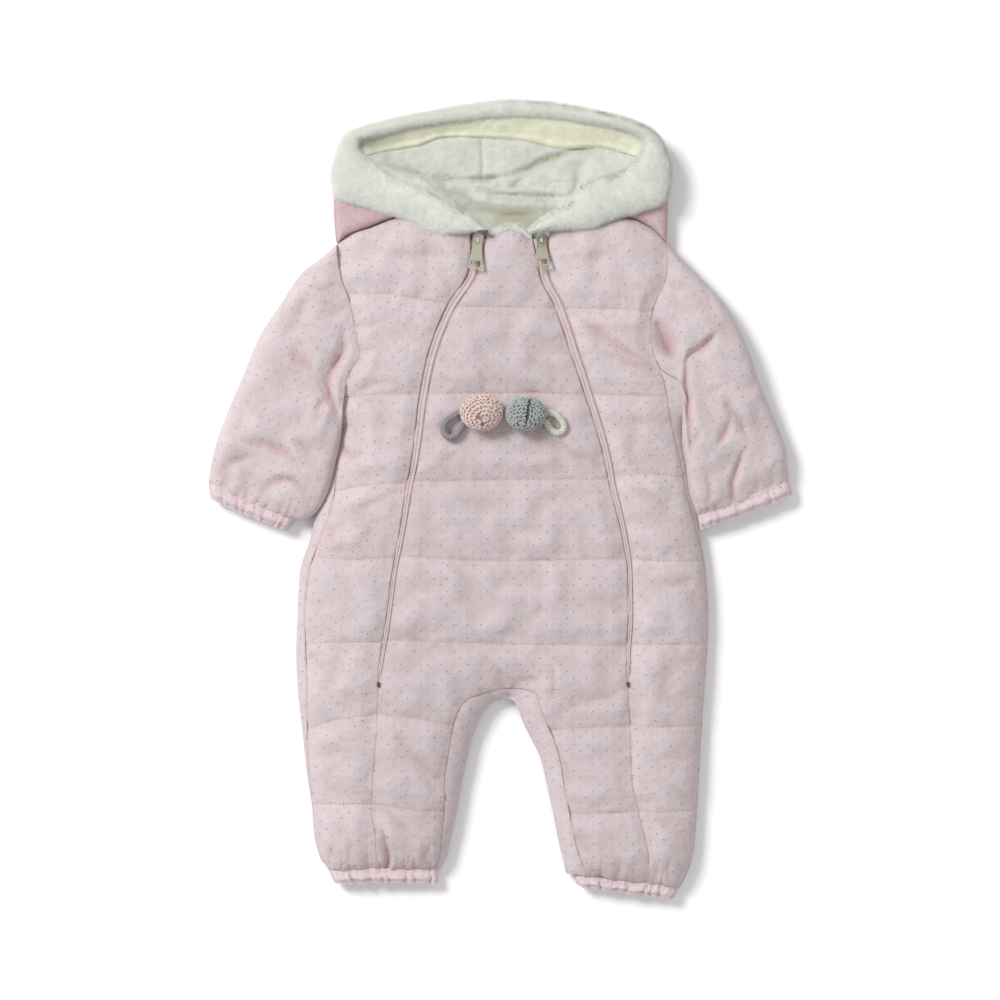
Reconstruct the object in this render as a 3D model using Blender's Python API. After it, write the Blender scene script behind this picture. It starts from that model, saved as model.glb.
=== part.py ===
"""Padded, hooded baby pramsuit with two curved zips, laid flat on its back.

Metres, +Z up: the garment lies on z = 0 with its front up, its head towards +Y and
the wearer's right side towards -X, so "left" below is -X. Tables and sizes are in
millimetres. Each cloth piece is a closed solid of its padded wall. The pieces of the
front lie on the back, and pieces meet with a small gap where a seam joins them.
"""

import math
from collections import namedtuple

import bmesh
import bpy
import numpy as np
from mathutils import Matrix, Vector

MM = 0.001
COLLECTION = "baby_pramsuit"

# Driving sizes, in millimetres.
GAP = 0.3  # between two pieces that meet
SEAM_Z = 9.0  # height of the outline, where front and back meet
BACK_TOP = SEAM_Z - GAP / 2  # the back lies flat up to here
FRONT_REST = SEAM_Z + GAP / 2  # the front lies on the back from here
LIP = 1.5  # half the thickness left at the outline
FRONT_WALL = 15.5  # padded wall of the front, at its thickest
PUFF_HEIGHT = 28.0  # top of the padded front
SIDE_REACH = 44.0  # how far in from the outline the front reaches its full height
NECK_REACH = 58.0
ANKLE_REACH = 40.0
NECK_LOW = 14.0  # height of the front at the neck seam
NECK_FACING_WIDTH = 4.0
ANKLE_LOW = 14.5  # height of the front at the ankle seam
BACK_ROUNDING = 9.0  # radius of the back's edge, under the outline
CENTRE_X = 7.5  # centre line of the garment
FRONT_SPLIT_Y = -153.5  # where the front panel splits into the legs
STRIP_Y = -155.0  # below this the back is turned forward at the inner legs
CROTCH_EDGE_Y = -163.0  # where the back's two halves part
ZIP_TOP_HALF = 6.0  # half the width between the panels at the top of a zip
ZIP_END_HALF = 1.6
ZIP_FLARE = 2.2  # the panels part by this much more beside a slider
ZIP_TOP_Y = 218.0
ZIP_END_Y = -148.0
SEAM_HALF = GAP / 2  # half the width between the panels below a zip
TAPE = 1.2  # thickness of a zip's tape
COIL_HALF = 2.3
COIL_RISE = 1.3
SLOT = 3.0  # height of the slim hollow in a flattened sleeve or frill
QUILT_ROWS = (157, 87, 17, -50, -118, -183, -250)
QUILT_DEPTH = 2.6
QUILT_HALF = 15.0
ZIP_DIP = 3.5  # the padding dips by this much beside a zip
ZIP_DIP_HALF = 16.0
ARMHOLE_DIP = 5.0
ARMHOLE_DIP_HALF = 14.0

# The rows of the body's grid, from the neck to the ankles.
ROWS = (
    208, 195, 178, 157, 140, 122, 108, 98, 87, 76, 52, 34, 17, 1, -17, -34, -50, -66, -84, -101,
    -118, -134, -147, -153.5, -155, -159, -163, -165, -171, -183, -198, -216, -234, -250, -266,
    -283, -295, -302,
)  # fmt: skip

# Outlines and seams of the body by height: x at each y. An edge is the outline or the
# armhole, a seam is where the front ends and the strip turned over from the back starts.
Body = namedtuple("Body", "y left_edge left_seam left_zip right_zip right_seam right_edge")
BODY = (
    Body(220, -134, -133.4, -17, 32, 135.4, 136),
    Body(208, -134, -133.4, -18, 33, 135.9, 136.5),
    Body(184, -131, -130.4, -23, 35.5, 135.4, 136),
    Body(157, -122, -121.4, -40, 48, 125.2, 125.8),
    Body(137, -118, -117.4, -49, 55, 121.4, 122),
    Body(118, -115, -114.4, -55.5, 61, 124.6, 125.2),
    Body(104, -122, -121.4, -59, 66, 130.4, 132),
    Body(94, -126, -125.4, -61, 69, 134, 147),
    Body(76, -131, -130.4, -64, 75, 137, 152),
    Body(50, -133, -131, -67, 83, 142, 151),
    Body(30, -138, -133.5, -70, 88, 147, 154),
    Body(11, -142, -135, -74, 91.5, 150.5, 156),
    Body(-11, -150, -139, -77.5, 97, 156, 160),
    Body(-34, -156, -148, -81.5, 102, 162, 164),
    Body(-60, -164, -156.5, -86.5, 105.5, 167.4, 168),
    Body(-95, -166, -160, -91, 106, 169.4, 170),
    Body(-126, -167, -159, -96, 104.5, 168.4, 169),
    Body(-152, -166, -158, -99.5, 104, 166.4, 167),
    Body(-190, -162, -158, -101, 106, 163.8, 164.4),
    Body(-226, -158, -156, -104, 107, 161.9, 162.5),
    Body(-252, -154, -153.2, -105, 112, 160.2, 160.8),
    Body(-275, -152, -151.4, -102, 117.5, 158.8, 159.4),
    Body(-294, -147, -146.4, -101, 121, 156, 156.6),
    Body(-303, -141, -140.4, -101, 122, 153, 153.6),
    Body(-318, -139, -138.4, -101, 122.5, 145.4, 146),
)

# The inner sides of the legs: the edge is the outline, the inseam is the front's edge.
Leg = namedtuple("Leg", "y left_inseam left_edge right_edge right_inseam")
LEGS = (
    Leg(-155, 1, CENTRE_X, CENTRE_X, 18),
    Leg(-159, -16, CENTRE_X, CENTRE_X, 29),
    Leg(-163, -25, CENTRE_X, CENTRE_X, 30.5),
    Leg(-165, -28.5, -4, 10.5, 31),
    Leg(-171, -33, -11, 14, 33),
    Leg(-183, -37.5, -18, 18.5, 37.5),
    Leg(-195, -40, -23, 24.5, 43),
    Leg(-213, -43, -27, 33, 48.5),
    Leg(-232, -45.5, -31.5, 37.5, 51.5),
    Leg(-250, -45.5, -34.5, 41.5, 55),
    Leg(-265, -46.5, -37.5, 44.5, 58),
    Leg(-280, -48, -41, 47.5, 61),
    Leg(-292, -49.5, -43.5, 50.5, 64.5),
    Leg(-303, -54, -49, 54, 70),
    Leg(-318, -54, -49, 58, 72),
)

# The neck seam from side to side, and its lower run at the top of the front panels.
Neck = namedtuple("Neck", "x seam front")
NECK = (
    Neck(-134, 208, 208),
    Neck(-120, 217, 217),
    Neck(-105, 222, 222),
    Neck(-90, 228, 228),
    Neck(-76, 231, 231),
    Neck(-48, 231, 231),
    Neck(-28, 231, 225),
    Neck(-17, 231, 220),
    Neck(-6, 231, 215),
    Neck(8, 231, 222),
    Neck(17, 231, 217),
    Neck(24, 231, 210),
    Neck(33, 231, 215),
    Neck(48, 231, 225),
    Neck(64, 231, 231),
    Neck(86, 231, 231),
    Neck(105, 229, 229),
    Neck(118, 224, 224),
    Neck(129, 216, 216),
    Neck(136.5, 208, 208),
)

# Where each leg ends at the ankle seam: y by x.
Ankle = namedtuple("Ankle", "x seam")
ANKLE_OUTLINE_Y = {"left": -304, "right": -317.5}  # where the outline meets that seam
ANKLES = (
    Ankle(-150, -304),
    Ankle(-100, -302.5),
    Ankle(-48, -303),
    Ankle(48, -306),
    Ankle(152, -319),
)

# A sleeve by stations from the armhole to the cuff seam: its outer and inner edge in
# plan, how far the row between them bows towards the body, and its padded height. The
# first station follows the armhole of the body instead of its own row.
Sleeve = namedtuple("Sleeve", "outer_x outer_y inner_x inner_y bow height")
LEFT_SLEEVE = (
    Sleeve(-134, 208, -132, 76, 14, 22),
    Sleeve(-146, 197, -134, 60, 7, 25),
    Sleeve(-162, 185, -136, 46, 6, 26),
    Sleeve(-179, 160, -140, 30, 5, 27),
    Sleeve(-196, 134, -145, 10, 4, 27),
    Sleeve(-211, 99, -153, -8, 3, 25),
    Sleeve(-225, 66, -157, -15, 3, 23),
    Sleeve(-234, 40, -162, -17.6, 1, 21),
    Sleeve(-239, 15, -168, -17, -2, 16),
)
RIGHT_SLEEVE = (
    Sleeve(136.5, 208, 146, 98, 10, 22),
    Sleeve(150, 194, 154.5, 92, 8, 25),
    Sleeve(169, 175, 153, 70, 7, 26),
    Sleeve(186, 154, 153, 50, 6, 27),
    Sleeve(202, 123, 156.5, 26, 5, 27),
    Sleeve(213, 92, 159, 6, 3, 25),
    Sleeve(224, 65, 161, -4, 3, 23),
    Sleeve(234, 38, 162.6, -10, 1, 21),
    Sleeve(236, 16, 163.5, -13.5, -2, 16),
)
# A gathered end: the two ends of its seam and the two ends of its hem, in plan.
Cuff = namedtuple("Cuff", "outer_x outer_y inner_x inner_y bow height")
LEFT_CUFF = (Cuff(-239, 14.6, -168, -17.5, -2, 15), Cuff(-237, 0, -174, -26, -1, 17))
RIGHT_CUFF = (Cuff(236, 15.6, 163.8, -14.2, -2, 15), Cuff(239, 3, 167, -25, -1, 17))
LEFT_ANKLE = (Cuff(-140, -304.5, -51, -303.8, 0, 14.5), Cuff(-136, -314.5, -51, -314.5, 1, 17))
RIGHT_ANKLE = (Cuff(145, -318.9, 61, -308.4, 0, 14.5), Cuff(142, -327, 62, -316.5, 0, 17))

# The fur band by stations from its left end over the top to its right end.
Fur = namedtuple("Fur", "outer_x outer_y inner_x inner_y base height")
FUR = (
    Fur(-24, 219, -8.5, 219.5, 23, 9),
    Fur(-46, 215.5, -18, 228, 22.5, 11),
    Fur(-61, 218, -30, 236, 21.5, 13),
    Fur(-75, 226, -48, 247, 18.5, 15),
    Fur(-98, 233, -68, 257, 16.4, 16),
    Fur(-118, 239, -86, 265, 16.4, 16),
    Fur(-136, 245, -98, 274, 16.4, 16),
    Fur(-139, 262, -107, 281, 16.4, 16),
    Fur(-135, 283, -112, 287, 16.4, 16),
    Fur(-128, 297, -111, 292, 16.4, 16),
    Fur(-113, 304.5, -101, 293.5, 16.4, 15),
    Fur(-86, 312, -83, 298, 16.4, 14),
    Fur(-58, 317.5, -57, 302.5, 16.4, 13),
    Fur(-33, 322, -32, 306, 16.4, 12),
    Fur(8, 327, 8, 309, 16.4, 12),
    Fur(41, 325, 40, 308, 16.4, 12),
    Fur(73, 319.5, 71, 303.5, 16.4, 13),
    Fur(104, 312, 99, 298, 16.4, 15),
    Fur(124, 303, 111, 294, 16.4, 16),
    Fur(133, 293, 114, 288, 16.4, 16),
    Fur(141, 266, 108, 277, 16.4, 16),
    Fur(136, 242, 95, 267, 16.4, 16),
    Fur(114, 233, 80, 263, 16.4, 16),
    Fur(94, 227, 62, 256, 18.5, 15),
    Fur(80, 221, 57, 244, 21.5, 13),
    Fur(66, 218.5, 45, 238, 22.5, 12),
    Fur(48, 219, 32, 230, 22.5, 11),
    Fur(27, 217, 21.5, 219, 23, 9),
)
# The hood's sides turned forward: outer edge on the outline or neck seam, inner edge at
# the mouth. Both halves meet at the top.
Hood = namedtuple("Hood", "outer_x outer_y inner_x inner_y")
HOOD_LEFT = (
    Hood(-46, 231.6, -42, 240),
    Hood(-62, 231.6, -56, 249),
    Hood(-78, 231.4, -72, 256),
    Hood(-94, 227, -86, 262),
    Hood(-112, 220, -97, 270),
    Hood(-124, 214, -101, 274),
    Hood(-133.2, 208, -104, 276),
    Hood(-136.5, 240, -110, 281),
    Hood(-136.5, 266, -114, 285),
    Hood(-126, 295, -108, 290),
    Hood(-86, 309.5, -84, 295),
    Hood(-32, 319, -32, 303),
    Hood(7.3, 323.5, 7.3, 306),
)
HOOD_RIGHT = (
    Hood(62, 231.6, 54, 240),
    Hood(78, 231.6, 64, 253),
    Hood(95, 230.6, 82, 260),
    Hood(108, 227, 88, 263),
    Hood(120, 222, 94, 267),
    Hood(135.4, 208, 104, 272),
    Hood(137, 240, 110, 276),
    Hood(138, 266, 115, 284),
    Hood(126, 298, 108, 291),
    Hood(104, 309, 98, 295),
    Hood(73, 316.5, 71, 300.5),
    Hood(41, 322, 40, 305),
    Hood(7.7, 323.5, 7.7, 306),
)
HOOD_TURNED_TOP = 16.0  # the turned sides' height, with the fur on them
HOOD_EDGE_DROP = 3.0  # how far the hood's faces round away at its outline
HOOD_ROUNDING = 0.035  # over this share of its width
# The back of the hood: rows from side to side, low to high.
Row = namedtuple("Row", "left_x left_y mid_x mid_y right_x right_y")
HOOD_BACK = (
    Row(-133, 210.5, 7.5, 231.6, 135, 211),
    Row(-136, 240, 7.5, 255, 137, 240),
    Row(-136, 266, 7.5, 284, 138, 266),
    Row(-126, 294, 7.5, 308, 128, 294),
    Row(-100, 305.5, 7.5, 323.5, 106, 308),
)
# What lies in the hood's mouth, low to high: each row runs from one turned side to the
# other and is as high as its last column says.
Mouth = namedtuple("Mouth", "left_y mid_y right_y height")
NECK_LINING = (
    Mouth(233, 223, 233, 11),
    Mouth(240.5, 235, 240.5, 13),
    Mouth(254, 248, 254, 15.6),
    Mouth(266, 259, 264.5, 14),
)
HOOD_LINING = (Mouth(267, 260, 265.5, 12), Mouth(274, 278, 272, 11.5), Mouth(280, 292, 279, 12))
HOOD_FACING = (Mouth(281, 293, 280, 12.5), Mouth(284, 299, 283.5, 14), Mouth(0, 0, 0, 15.6))
LINING_SEAM_X = -15.0
LINING_FLOOR = 9.4  # underside of what lies on the back of the hood
MOUTH_INSET = 3.0  # what lies in the mouth ends this far inside it, under the fur

# Metal pieces.
SLIDER_Y = 211.0  # middle of each slider
STRIP_TOP = 1.5  # the zip's strip ends this far above the slider's middle
STRIP_BEND = -8.0  # and is straight down to here
ZIP_SINK = 2.0  # tapes lie this much lower than the panels' padding
PLATE_LENGTH = 12.0
PLATE_WIDTH = 9.4
PLATE = 1.3
CROWN_WIDTH = 2.2
CROWN_HALF = 3.6  # half its length along the slider
CROWN_RISE = 3.6
CROWN_WIRE = 1.1
CROWN_SINK = 0.3  # its feet go this far into the plate
STOP = (2.4, 4.4, 2.0)  # a zip's stop: width, length, height
TAB_LENGTH = 26.5
TAB_TOP_WIDTH = 6.4
TAB_END_WIDTH = 12.4
TAB_THICKNESS = 1.2
TAB_EYE = (3.4, 3.0)  # opening for the crown: width, length
TAB_EYE_BAR = 1.2
TAB_WINDOW = (7.6, 5.6)
TAB_END_BAR = 1.5
TAB_CLEARANCE = 0.9  # between a resting tab and the padding under it
PIVOT_SHIFT = -0.6  # middle of the crown along the slider
PIVOT_UP = COIL_RISE + GAP + PLATE + 1.05  # height of the pivot above the tape

# Chest trim.
Trim = namedtuple("Trim", "x y width length height")
TRIM_CLEARANCE = 0.7
PINK_BALL = Trim(-15.5, 70.5, 35, 30.5, 20)
GREY_BALL = Trim(20.6, 69, 33.5, 28, 20)
CORD = 5.4  # diameter of the loops
Point = namedtuple("Point", "x y")
GREY_LOOP = (
    Point(-31.6, 71.3),
    Point(-43.5, 64),
    Point(-46.5, 56),
    Point(-42, 50),
    Point(-35.5, 53),
    Point(-31.5, 59),
    Point(-29.5, 64),
)
CREAM_LOOP = (
    Point(38, 71),
    Point(45.5, 68.5),
    Point(51, 62),
    Point(51, 56),
    Point(45.5, 54),
    Point(40, 58),
    Point(37, 63),
)

CLOTH_PINK = (0.70, 0.57, 0.59)
FUR_WHITE = (0.76, 0.78, 0.69)
LINING_CREAM = (0.74, 0.73, 0.56)
METAL = (0.62, 0.60, 0.50)
TAPE_PINK = (0.55, 0.36, 0.35)


# ------------------------------------------------------------------ reading the tables


def column(table, name, at):
    """A table's column as a smooth curve of its first column, without overshoot."""
    rows = sorted(table, key=lambda row: row[0])
    knots = np.array([row[0] for row in rows], float)
    values = np.array([getattr(row, name) for row in rows], float)
    step = np.diff(knots)
    slope = np.diff(values) / step
    same_sign = slope[:-1] * slope[1:] > 0
    total = np.where(same_sign, slope[:-1] + slope[1:], 1.0)
    inner = np.where(same_sign, 2 * slope[:-1] * slope[1:] / total, 0.0)
    tangent = np.concatenate([slope[:1], inner, slope[-1:]])
    at = np.clip(np.asarray(at, float), knots[0], knots[-1])
    i = np.clip(np.searchsorted(knots, at) - 1, 0, len(step) - 1)
    t = (at - knots[i]) / step[i]
    return (
        values[i] * (1 + 2 * t) * (1 - t) ** 2
        + values[i + 1] * t**2 * (3 - 2 * t)
        + step[i] * (tangent[i] * t * (1 - t) ** 2 - tangent[i + 1] * t**2 * (1 - t))
    )


def field(table, name):
    return np.array([getattr(row, name) for row in table], float)


def smooth_step(t):
    t = np.clip(t, 0, 1)
    return t * t * (3 - 2 * t)


def zip_half(y):
    """Half the width between the panels beside a zip, or beside the seam below it."""
    t = np.clip((np.asarray(y, float) - ZIP_END_Y) / (ZIP_TOP_Y - ZIP_END_Y), 0, 1)
    half = ZIP_END_HALF + (ZIP_TOP_HALF - ZIP_END_HALF) * t**0.7
    flare = ZIP_FLARE * smooth_step((np.asarray(y, float) - ROWS[1]) / (ROWS[0] - ROWS[1]))
    return np.where(np.asarray(y) >= ZIP_END_Y, half + flare, SEAM_HALF)


def sampled(table, name, low, high, count=60):
    y = np.linspace(low, high, count)
    return np.stack([column(table, name, y), y], axis=-1)


def distance(x, y, line):
    """Distance from each point to a polyline."""
    point = np.stack([np.asarray(x, float), np.asarray(y, float)], axis=-1)[..., None, :]
    start = line[:-1]
    along = line[1:] - start
    t = ((point - start) * along).sum(-1) / (along * along).sum(-1)
    foot = start + np.clip(t, 0, 1)[..., None] * along
    return np.linalg.norm(point - foot, axis=-1).min(-1)


def pillow(away, reach, low, high):
    """Height of a padded edge, round from `low` at the edge to `high` at its reach."""
    t = 1 - np.clip(away / reach, 0, 1)
    return low + (high - low) * np.sqrt(1 - t * t)


def trough(away, half, depth):
    return depth * (1 - np.clip(away / half, 0, 1) ** 2) ** 2


LEFT_ARMHOLE = sampled(BODY, "left_edge", 76, 208)
RIGHT_ARMHOLE = sampled(BODY, "right_edge", 98, 208)
SIDES = (
    sampled(BODY, "left_edge", -318, 60),
    sampled(BODY, "right_edge", -318, 60),
)
INNER_LEGS = (
    sampled(LEGS, "left_edge", -318, -163),
    sampled(LEGS, "right_edge", -318, -163),
)
NECK_LINE = np.array([(row.x, row.front) for row in NECK], float)
ANKLE_LINES = (
    np.array([(row.x, row.seam) for row in ANKLES[:3]], float),
    np.array([(row.x, row.seam) for row in ANKLES[3:]], float),
)
ZIPS = (sampled(BODY, "left_zip", -318, 218), sampled(BODY, "right_zip", -318, 218))


def front_top(x, y):
    """Height of the front of the body: padded, lower at its edges, seams and quilting."""
    lacks = [PUFF_HEIGHT - pillow(distance(x, y, NECK_LINE), NECK_REACH, NECK_LOW, PUFF_HEIGHT)]
    for line in SIDES + INNER_LEGS:
        rise = pillow(distance(x, y, line), SIDE_REACH, SEAM_Z + LIP, PUFF_HEIGHT)
        lacks.append(PUFF_HEIGHT - rise)
    for line in ANKLE_LINES:
        rise = pillow(distance(x, y, line), ANKLE_REACH, ANKLE_LOW, PUFF_HEIGHT)
        lacks.append(PUFF_HEIGHT - rise)
    lack = sum(part**3 for part in lacks) ** (1 / 3)
    height = PUFF_HEIGHT - lack
    inland = np.clip((height - SEAM_Z) / (PUFF_HEIGHT - SEAM_Z), 0, 1)
    for row in QUILT_ROWS:
        height = height - inland * trough(np.abs(y - row), QUILT_HALF, QUILT_DEPTH)
    for line in ZIPS:
        height = height - inland * trough(distance(x, y, line), ZIP_DIP_HALF, ZIP_DIP)
    for line in (LEFT_ARMHOLE, RIGHT_ARMHOLE):
        height = height - inland * trough(distance(x, y, line), ARMHOLE_DIP_HALF, ARMHOLE_DIP)
    return np.maximum(height, SEAM_Z + LIP)


def back_underside(x, y):
    """Height of the back's underside: on the table, rounded up to the outline."""
    away = np.min([distance(x, y, line) for line in SIDES + INNER_LEGS], axis=0)
    t = 1 - np.clip(away / BACK_ROUNDING, 0, 1)
    return (SEAM_Z - LIP) * (1 - np.sqrt(1 - t * t))


# ------------------------------------------------------------------ mesh builders


def material(name, colour, roughness=0.85, metallic=0.0):
    found = bpy.data.materials.get(name)
    if found:
        return found
    made = bpy.data.materials.new(name)
    made.use_nodes = True
    shader = made.node_tree.nodes["Principled BSDF"]
    shader.inputs["Base Color"].default_value = (*colour, 1.0)
    shader.inputs["Roughness"].default_value = roughness
    shader.inputs["Metallic"].default_value = metallic
    return made


def new_object(name, bm, finish, sharp_angle=50):
    bmesh.ops.recalc_face_normals(bm, faces=bm.faces)
    mesh = bpy.data.meshes.new(name)
    bm.to_mesh(mesh)
    bm.free()
    mesh.materials.append(finish)
    mesh.shade_smooth()
    mesh.set_sharp_from_angle(angle=math.radians(sharp_angle))
    made = bpy.data.objects.new(name, mesh)
    bpy.data.collections[COLLECTION].objects.link(made)
    return made


def slab(name, points, quads, finish):
    """A closed wall over a plan of quads. points: key -> (x, y, top z, underside z)."""
    bm = bmesh.new()
    used = {key for quad in quads for key in quad}
    top = {key: bm.verts.new(Vector(points[key][:3]) * MM) for key in used}
    under = {
        key: bm.verts.new(Vector((*points[key][:2], points[key][3])) * MM) for key in used
    }
    edges = {(quad[k], quad[(k + 1) % 4]) for quad in quads for k in range(4)}
    for quad in quads:
        bm.faces.new([top[key] for key in quad])
        bm.faces.new([under[key] for key in reversed(quad)])
    for start, end in edges:
        if (end, start) not in edges:
            bm.faces.new([top[end], top[start], under[start], under[end]])
    return new_object(name, bm, finish)


def grid_slab(name, x, y, top, underside, finish):
    """A closed wall over a grid of rows and columns."""
    rows, columns = x.shape
    points = {
        (i, j): (x[i, j], y[i, j], top[i, j], underside[i, j])
        for i in range(rows)
        for j in range(columns)
    }
    return slab(name, points, grid_quads(range(rows), range(columns)), finish)


def grid_quads(rows, columns):
    rows, columns = list(rows), list(columns)
    return [
        ((i, j), (i + 1, j), (i + 1, j + 1), (i, j + 1)) for i in rows[:-1] for j in columns[:-1]
    ]


def loft(name, rings, finish, inner_rings=None):
    """A solid through closed rings, or a tube if there are inner rings too."""
    bm = bmesh.new()
    outer = [[bm.verts.new(Vector(p) * MM) for p in ring] for ring in rings]
    count = len(rings[0])
    turn = [(k, (k + 1) % count) for k in range(count)]
    skin_with_quads(bm, outer, turn)
    if inner_rings is None:
        bm.faces.new(outer[0])
        bm.faces.new(outer[-1])
    else:
        inner = [[bm.verts.new(Vector(p) * MM) for p in ring] for ring in inner_rings]
        skin_with_quads(bm, inner, turn)
        for k in (0, -1):
            skin_with_quads(bm, (outer[k], inner[k]), turn)
    return new_object(name, bm, finish)


def skin_with_quads(bm, rings, turn):
    for near, far in zip(rings[:-1], rings[1:]):
        for a, b in turn:
            bm.faces.new([near[a], near[b], far[b], far[a]])


# ------------------------------------------------------------------ cloth of the body


def pink_cloth():
    return material("pink_padded_cloth", CLOTH_PINK)


def rows_between(x):
    """y of every row of the body at the columns x: the first ends at the neck seam and
    the last at the ankle seam."""
    y = np.repeat(np.array(ROWS, float)[:, None], x.shape[1], axis=1)
    y[0] = column(NECK, "front", x[0])
    y[-1] = column(ANKLES, "seam", x[-1])
    return y


def outline_rows(side):
    """Heights at which the outline is read for each row, as the last row is stretched."""
    rows = np.array(ROWS, float)
    rows[-1] = ANKLE_OUTLINE_Y[side]
    return rows


def front_slab(name, x, y, quads=None, keys=None):
    """A padded front panel, whose wall lies on the back where it is low."""
    top = front_top(x, y)
    under = np.maximum(FRONT_REST, top - FRONT_WALL)
    if quads is None:
        return grid_slab(name, x, y, top, under, pink_cloth())
    points = {key: (x[key], y[key], top[key], under[key]) for key in keys}
    return slab(name, points, quads, pink_cloth())


def centre_columns():
    """Columns of the centre panel: its left half, then its right half. The inseam is
    read a little lower down, so that it clears the strip of the back at the crotch."""
    rows = np.array(ROWS, float)
    left = column(BODY, "left_zip", rows) + zip_half(rows)
    right = column(BODY, "right_zip", rows) - zip_half(rows)
    split = ROWS.index(FRONT_SPLIT_Y)
    left_inner = column(LEGS, "left_inseam", rows - 1) - 2 * GAP
    right_inner = column(LEGS, "right_inseam", rows - 1) + 2 * GAP
    left_inner[: split + 1] = CENTRE_X
    right_inner[: split + 1] = CENTRE_X
    shares = np.array([0, 0.2, 0.55, 0.86, 1])
    left_half = left[:, None] + (left_inner - left)[:, None] * shares
    right_half = right[:, None] + (right_inner - right)[:, None] * shares[::-1]
    return np.concatenate([left_half, right_half], axis=1)


def front_side(side):
    """Front panel outside a zip, from the shoulder to the ankle."""
    rows = np.array(ROWS, float)
    toward_zip = 1 if side == "left" else -1
    seam = column(BODY, side + "_seam", outline_rows(side)) + toward_zip * 2 * GAP
    beside_zip = column(BODY, side + "_zip", rows) - toward_zip * zip_half(rows)
    shares = np.array([0, 0.14, 0.42, 0.76, 1])
    x = seam[:, None] + (beside_zip - seam)[:, None] * shares
    return front_slab("front_side_" + side, x, rows_between(x))


def front_centre():
    """Front panel between the zips, in one piece down to the crotch, then in two legs."""
    x = centre_columns()
    rows = np.array(ROWS, float)
    split = ROWS.index(FRONT_SPLIT_Y)
    half = x.shape[1] // 2
    quads = grid_quads(range(len(rows)), range(half))
    for quad in grid_quads(range(len(rows)), range(half, 2 * half)):
        # Above the split both halves share their middle column.
        quads.append([(i, half - 1) if j == half and i <= split else (i, j) for i, j in quad])
    keys = {key for quad in quads for key in quad}
    return front_slab("front_centre", x, rows_between(x), quads, keys)


def back_half(side):
    """Half of the back: flat on the table, turned forward in a strip along the outline of
    its side and of its inner leg."""
    rows = np.array(ROWS, float)
    inward = 1 if side == "left" else -1
    edge = column(BODY, side + "_edge", outline_rows(side))
    seam = column(BODY, side + "_seam", outline_rows(side))
    inner = np.where(rows >= CROTCH_EDGE_Y, CENTRE_X, column(LEGS, side + "_edge", rows))
    inner = inner - inward * GAP / 2
    inseam = column(LEGS, side + "_inseam", rows)
    on_strip = rows < STRIP_Y
    inseam = np.where(on_strip, inseam, inner - inward * 0.5)
    foot = seam + inward * GAP
    inner_foot = inseam - inward * GAP
    inner_mid = (inseam + inner) / 2
    # The underside is flat between these two columns.
    further_in = np.maximum if side == "left" else np.minimum
    further_out = np.minimum if side == "left" else np.maximum
    flat = further_in(foot + inward, edge + inward * BACK_ROUNDING)
    inner_flat = further_out(inner_foot - inward, inner - inward * BACK_ROUNDING)
    x = np.stack([edge, seam, foot, flat, inner_flat, inner_foot, inseam, inner_mid, inner], 1)
    y = np.repeat(rows[:, None], x.shape[1], axis=1)
    y[0] = column(NECK, "seam", x[0])
    y[-1] = column(ANKLES, "seam", x[-1])
    top = np.full_like(x, BACK_TOP)
    outer_strip = front_top(x[:, :2], y[:, :2])
    narrow = np.abs(seam - edge) < 1.0
    top[:, :2] = np.where(narrow[:, None], BACK_TOP, outer_strip)
    inner_strip = front_top(x[:, 6:], y[:, 6:])
    top[:, 6:] = np.where(on_strip[:, None], inner_strip, BACK_TOP)
    under = back_underside(x, y)
    return grid_slab("back_" + side, x, y, top, under, pink_cloth())


# ------------------------------------------------------------------ tubes


def flat_tube_rings(rows, shares, waves=0, wave=0.0):
    """Rings of a tube that lies flat, and rings of its slim hollow. Each row gives the
    ends of one ring in plan. `shares` are the places of its points between those ends."""
    outer, inner = [], []
    shares = np.array(shares)
    inset = np.clip(shares, 0.1, 0.9)
    for row in rows:
        start = np.array([row.outer_x, row.outer_y])
        end = np.array([row.inner_x, row.inner_y])
        across = end - start
        normal = np.array([-across[1], across[0]]) / np.linalg.norm(across)
        if row.outer_x > row.inner_x:
            normal = -normal
        for made, share, full_rise in ((outer, shares, row.height / 2), (inner, inset, SLOT / 2)):
            plan = start + share[:, None] * across
            plan = plan + (4 * share * (1 - share))[:, None] * normal * row.bow
            edge = np.abs(2 * share - 1) ** 3.2
            rise = np.maximum(full_rise * np.sqrt(np.clip(1 - edge**2, 0, 1)), 0.4)
            frill = wave * np.sin(shares * 2 * math.pi * waves)
            top = row.height / 2 + rise + frill * (rise > SLOT)
            low = row.height / 2 - rise
            upper = [(*p, z) for p, z in zip(plan, top)]
            lower = [(*p, z) for p, z in zip(plan, low)]
            made.append(upper + lower[::-1])
    return outer, inner


def sleeve(side):
    table = LEFT_SLEEVE if side == "left" else RIGHT_SLEEVE
    first = table[0]
    ys = [y for y in ROWS if first.inner_y <= y <= first.outer_y]
    shares = [(first.outer_y - y) / (first.outer_y - first.inner_y) for y in ys]
    outer, inner = flat_tube_rings(table, shares)
    clear = -GAP if side == "left" else GAP
    span = first.outer_y - first.inner_y
    low, high = first.inner_y + 0.1 * span, first.outer_y - 0.1 * span
    for ring, heights in ((outer[0], ys), (inner[0], np.clip(ys, low, high))):
        armhole = column(BODY, side + "_edge", heights) + clear
        for k, (x, y) in enumerate(zip(armhole, heights)):
            for place in (k, 2 * len(ys) - 1 - k):
                ring[place] = (x, y, ring[place][2])
    return loft("sleeve_" + side, outer, pink_cloth(), inner)


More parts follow.
